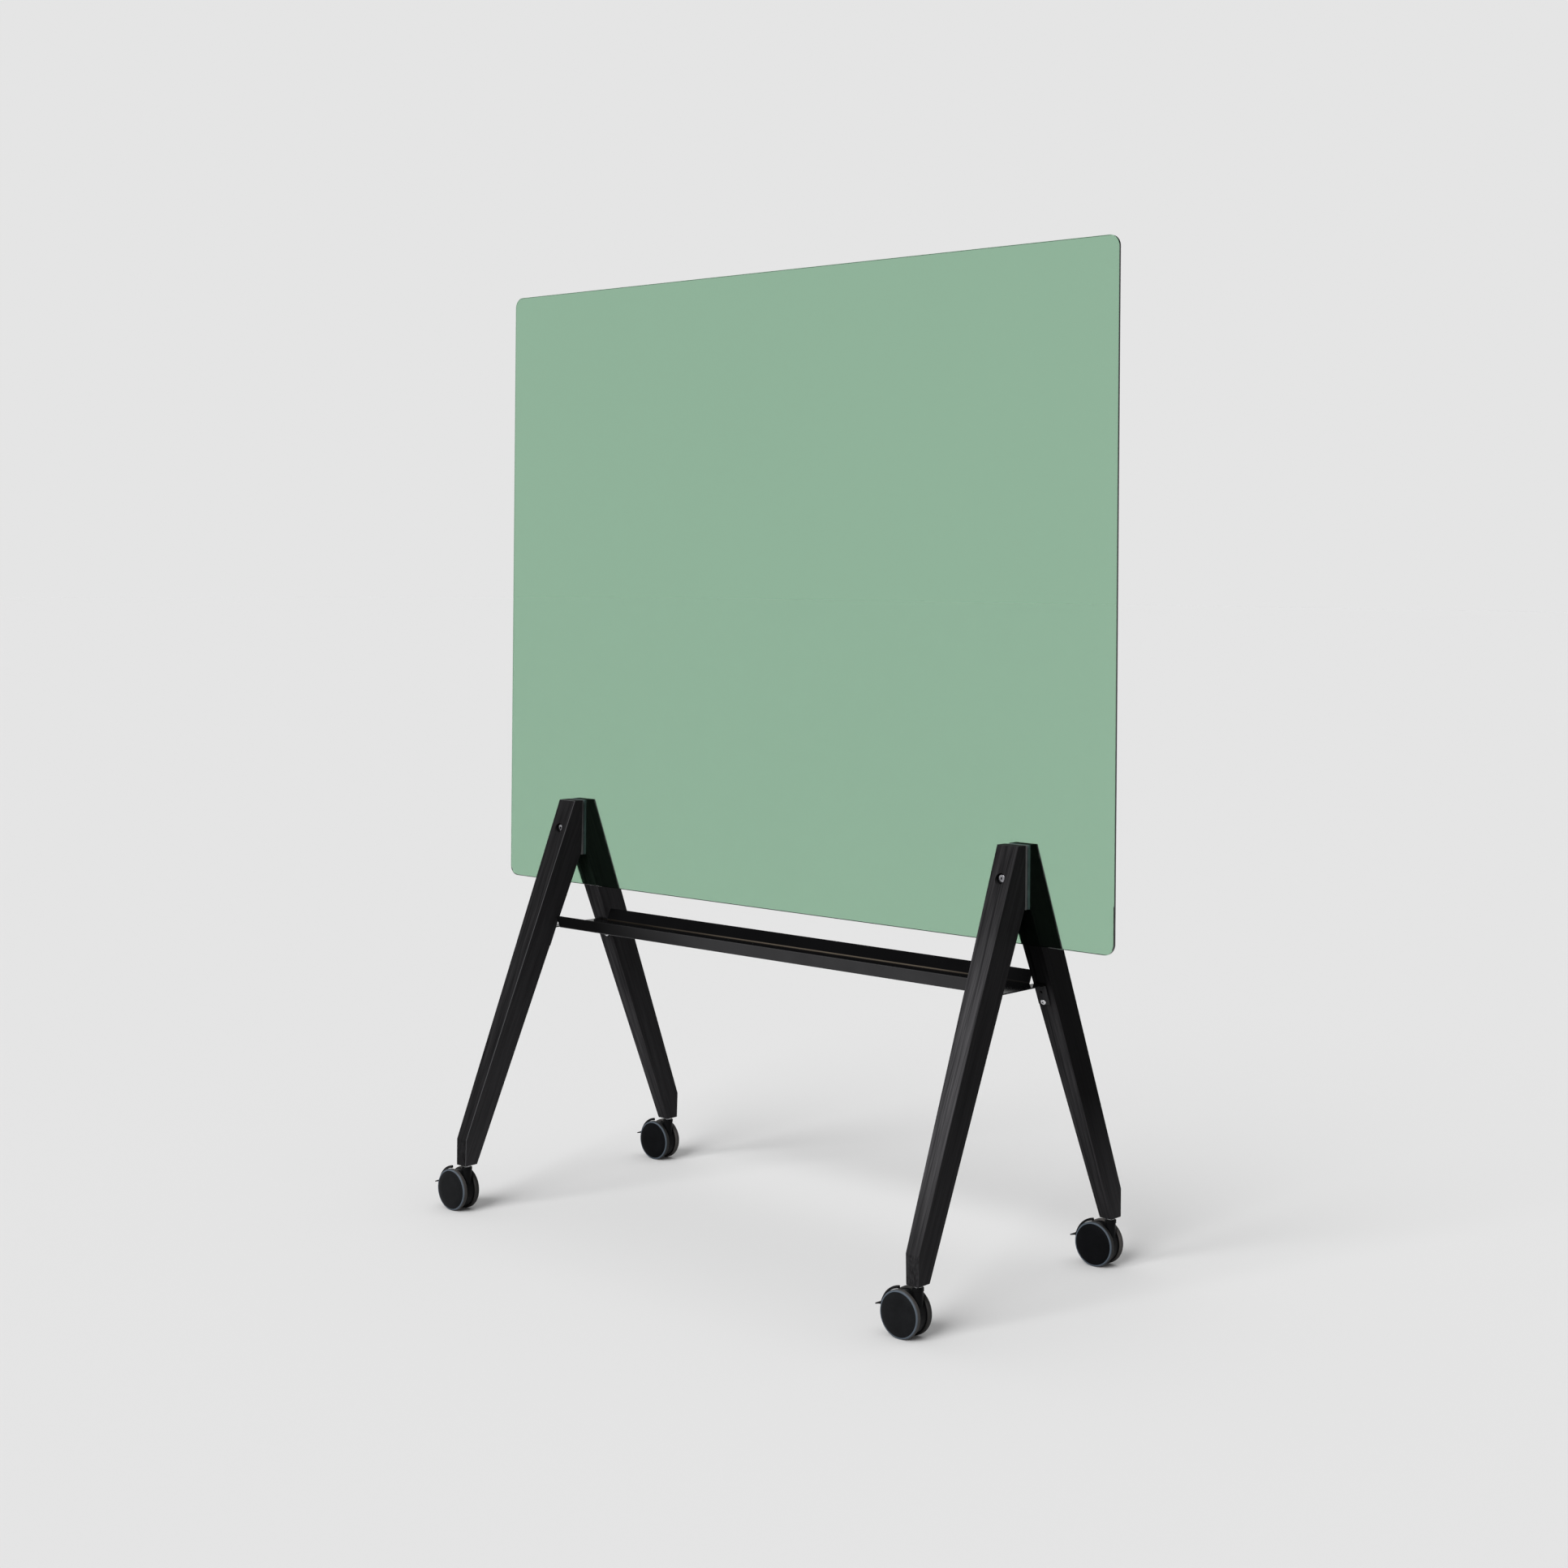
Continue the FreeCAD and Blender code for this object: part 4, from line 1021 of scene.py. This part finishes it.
@dataclass
class BrakeLever:
    """Foot lever of a castor: narrow arm, plate and beak in one moulding, and a web to its pin.

    Sizes are in millimetres, and angles in degrees about the axle.
    """

    corner: str
    plastic: Finish
    width: float = 29.0
    arm_width: float = 4.5
    thickness: float = 2.4
    arm_outside: float = 3.45
    arm_clearance: float = 0.6
    clearance: float = 1.4
    rise: float = 2.4
    arm_angle: float = 95.0
    plate_angle: float = 150.0
    plate_step: float = 3.0
    end_angle: float = 172.0
    lift_past: float = 4.0
    blade_rows: int = 90
    blade_nose: float = 1.2
    beak_angle: float = 166.5
    beak_depth: Range = (4.6, 2.0)
    beak_nose: float = 2.0
    tip_reach: float = 15.5
    tip_angle: float = 174.0
    web_angle: float = 163.0
    web_width: float = 7.0
    web_depth: float = 9.6
    web_nose: float = 4.0
    web_past_pin: float = 4.8
    bar_rows: int = 40

    def __post_init__(self) -> None:
        """Find the axle and the pin from their CAD nodes."""
        tread = box_mm(f"{self.corner}_outer_tread")
        self.axle = box_mm(f"{self.corner}_axle").mean(axis=0)
        self.radius = (tread[1, 2] - tread[0, 2]) / 2
        self.pin = box_mm(f"{self.corner}_brake_pin").mean(axis=0)

    def about(self, radius: Any, angle: Any, side: Any = 0.0) -> np.ndarray:
        """Points at a radius and an angle about the axle.

        Args:
            radius: one or more radii.
            angle: angles in degrees, from +X towards +Z.
            side: Y from the middle of the castor.

        Returns:
            The points, one row each.
        """
        turn = np.radians(angle)
        parts = np.broadcast_arrays(radius * np.cos(turn), side, radius * np.sin(turn))
        return self.axle + np.stack(parts, axis=-1)

    def blade(self) -> Shell:
        """Arm and plate: an oblong carried round the axle, which widens from one side where the plate starts.

        The widening is the smooth step 3u^2 - 2u^3 over a few degrees on each side of the plate's start, and the
        arm grows evenly thicker towards its free end.

        Returns:
            The arm and plate.
        """
        angle = np.linspace(self.arm_angle, self.end_angle, self.blade_rows)
        u = np.clip((angle - self.plate_angle + self.plate_step) / (2 * self.plate_step), 0.0, 1.0)
        step = u * u * (3.0 - 2.0 * u)
        width = self.arm_width + (self.width - self.arm_width) * step
        along = (self.plate_angle + self.lift_past - angle) / (self.plate_angle - self.arm_angle)
        lift = self.rise * np.clip(along, 0.0, 1.0)
        inside = self.arm_clearance + (self.clearance - self.arm_clearance) * step
        outside = self.arm_outside + (self.clearance + self.thickness - self.arm_outside) * step + lift
        line = self.about(self.radius + (inside + outside) / 2, angle, (width - self.width) / 2)
        outward = self.about(np.ones_like(angle), angle) - self.axle
        return Shell.carried(line, outward, width, outside - inside, self.blade_nose)

    def bar(self, start: np.ndarray, end: np.ndarray, width: Sequence[float], depth: Sequence[float],
            nose: float) -> Shell:
        """Straight bar whose section goes evenly from one size to another.

        Args:
            start: first point of its middle line.
            end: last point.
            width: widths at both ends.
            depth: depths at both ends.
            nose: length of its round ends.

        Returns:
            The bar.
        """
        share = np.linspace(0.0, 1.0, self.bar_rows)
        along = (end - start) / np.linalg.norm(end - start)
        across = np.tile(np.cross(along, [0.0, 1.0, 0.0]), (len(share), 1))
        return Shell.carried(start + share[:, None] * (end - start), across, np.interp(share, [0, 1], width),
                             np.interp(share, [0, 1], depth), nose)

    def build(self) -> None:
        """Join the blade, the beak and the web to the pin."""
        root = self.radius + self.clearance + self.thickness / 2
        tip = self.about(self.radius + self.tip_reach, self.tip_angle)
        beak = self.bar(self.about(root, self.beak_angle), tip, (self.width,) * 2, self.beak_depth, self.beak_nose)
        top = self.about(root, self.web_angle)
        inward = (self.pin - top) / np.linalg.norm(self.pin - top)
        web = self.bar(top, self.pin + inward * self.web_past_pin, (self.web_width,) * 2, (self.web_depth,) * 2,
                       self.web_nose)
        self.blade().joined(beak).joined(web).piece(
            f"{self.corner}_foot_lever", f"{self.corner}_brake", f"{self.corner}_brake_lever", "castor_nylon",
            self.plastic)


@dataclass
class Castor:
    """One castor with its two wheels and its brake."""

    row: Row
    side: Side

    @property
    def corner(self) -> str:
        """Name of the corner that it stands at."""
        return corner_name(self.row, self.side)

    def build(self) -> None:
        """Make the wheels and the lever."""
        for place in Place:
            Wheel(self.corner, place, DISC_PLASTIC[self.row]).build()
        BrakeLever(self.corner, LEVER_PLASTIC).build()

    def dress(self) -> None:
        """Dress the metal, the hood and the CAD nodes that the made pieces stand for."""
        dress([f"{self.corner}_{piece}" for piece in ("socket", "stem", "axle", "brake_pin")], ZINC)
        dress([f"{self.corner}_hood"], HOOD_PLASTIC)
        dress([f"{self.corner}_brake_lever"], LEVER_PLASTIC)
        for place in Place:
            dress([f"{self.corner}_{place.value}_wheel"], DISC_PLASTIC[self.row])
            dress([f"{self.corner}_{place.value}_tread"], TREAD[place])


@dataclass(frozen=True)
class PhotoCamera:
    """Camera that stands where the photograph was taken. Pixels are those of the square photograph."""

    place: tuple[float, float, float] = (2.9376, -3.2657, 1.2395)
    yaw: float = 41.915
    pitch: float = 0.220
    roll: float = 0.489
    focal_px: float = 2889.3
    horizon_px: float = 697.96
    frame_px: float = 1932.0
    sensor: float = 36.0
    far: float = 200.0

    def build(self) -> None:
        """Make the camera and hand it to the scene."""
        data = bpy.data.cameras.new("photo_camera")
        data.sensor_width = self.sensor
        data.lens = self.focal_px * self.sensor / self.frame_px
        data.shift_y = self.horizon_px / self.frame_px - 0.5
        data.clip_end = self.far
        camera = placed("photo_camera", data)
        turn = (Matrix.Rotation(math.radians(self.yaw), 4, "Z")
                @ Matrix.Rotation(math.radians(90 + self.pitch), 4, "X")
                @ Matrix.Rotation(math.radians(self.roll), 4, "Z"))
        camera.matrix_world = Matrix.Translation(self.place) @ turn
        bpy.context.scene.camera = camera


@dataclass(frozen=True)
class Lamp:
    """A far soft lamp; its share is the light on a face that looks at it."""

    name: str
    azimuth: float
    height: float
    share: float
    spread: float

    @property
    def towards(self) -> Vector:
        """Unit vector from the object to the lamp. Azimuth 0 is in front, and 90 on the right."""
        turn, rise = math.radians(self.azimuth), math.radians(self.height)
        return Vector((math.sin(turn) * math.cos(rise), -math.cos(turn) * math.cos(rise), math.sin(rise)))

    def build(self) -> None:
        """Make the lamp."""
        data = bpy.data.lights.new(self.name, "SUN")
        data.energy = math.pi * self.share
        data.angle = math.radians(self.spread)
        lamp = placed(self.name, data)
        lamp.rotation_mode = "QUATERNION"
        lamp.rotation_quaternion = self.towards.to_track_quat("Z", "Y")


@dataclass
class Studio:
    """Pale floor and background with soft light."""

    backdrop: float = 0.783
    ceiling: float = 0.03
    ceiling_starts: Range = (14.0, 24.0)
    air: float = 0.30
    bounce: float = 0.30
    reach: float = 90.0
    lamps: tuple[Lamp, ...] = field(default_factory=lambda: (
        Lamp("key_lamp", azimuth=3.0, height=32.0, share=1.0, spread=40.0),
        Lamp("top_lamp", azimuth=200.0, height=80.0, share=0.18, spread=60.0),
    ))

    def floor_light(self) -> float:
        """Light that falls on the open floor, as a share of what makes a white floor white."""
        return self.air + sum(lamp.share * lamp.towards.z for lamp in self.lamps)

    def seen(self, graph: Graph) -> bpy.types.NodeSocket:
        """1 for rays from the camera, through glass or off gloss, and 0 once a ray has met a matt surface.

        Args:
            graph: tree to add to.

        Returns:
            The factor.
        """
        path = graph.add("ShaderNodeLightPath").outputs
        clear = graph.calc("MAXIMUM", path["Is Glossy Ray"], path["Is Transmission Ray"])
        direct = graph.calc("MAXIMUM", path["Is Camera Ray"], clear)
        return graph.calc("SUBTRACT", direct, path["Diffuse Depth"], clamp=True)

    def build_floor(self) -> None:
        """Floor that shows as pale as the background and keeps the shadow."""
        material = bpy.data.materials.new("studio_floor")
        graph = Graph(material)
        albedo = self.backdrop / self.floor_light()
        chosen = graph.add("ShaderNodeMixShader", Fac=self.seen(graph))
        for socket, level in zip(chosen.inputs[1:], (self.bounce, albedo)):
            graph.feed(socket, graph.add("ShaderNodeBsdfDiffuse", Color=(level,) * 3).outputs[0])
        graph.finish(chosen)
        corners = np.array([(-1, -1, 0), (1, -1, 0), (1, 1, 0), (-1, 1, 0)], float) * self.reach
        mesh = bpy.data.meshes.new("studio_floor")
        mesh.from_pydata(corners.tolist(), [], [(0, 1, 2, 3)])
        mesh.materials.append(material)
        floor = placed("studio_floor", mesh)

    def build_air(self) -> None:
        """World that shows the background, white up to a dark ceiling, and gives a dimmer even light."""
        world = bpy.data.worlds.new("studio_air")
        bpy.context.scene.world = world
        graph = Graph(world, "ShaderNodeOutputWorld")
        rise = graph.parts(graph.add("ShaderNodeTexCoord").outputs["Generated"])["Z"]
        low, high = (math.sin(math.radians(angle)) for angle in self.ceiling_starts)
        shown = graph.span(rise, self.backdrop, self.ceiling, low, high)
        level = graph.span(self.seen(graph), self.air, shown)
        graph.finish(graph.add("ShaderNodeBackground", Color=WHITE, Strength=level))

    def build(self) -> None:
        """Make the floor, the air and the lamps."""
        self.build_floor()
        self.build_air()
        for lamp in self.lamps:
            lamp.build()
        bpy.context.scene.view_settings.view_transform = "Standard"


def main() -> None:
    """Build and dress the whiteboard in order."""
    logging.basicConfig(level=logging.INFO, format="%(name)s: %(message)s")
    GlassPane().dress()
    for side in Side:
        AFrame(side).dress()
    Clamps().dress()
    MarkerTray().dress()
    for row in Row:
        for side in Side:
            castor = Castor(row, side)
            castor.build()
            castor.dress()
    Studio().build()
    PhotoCamera().build()


if __name__ == "__main__":
    main()
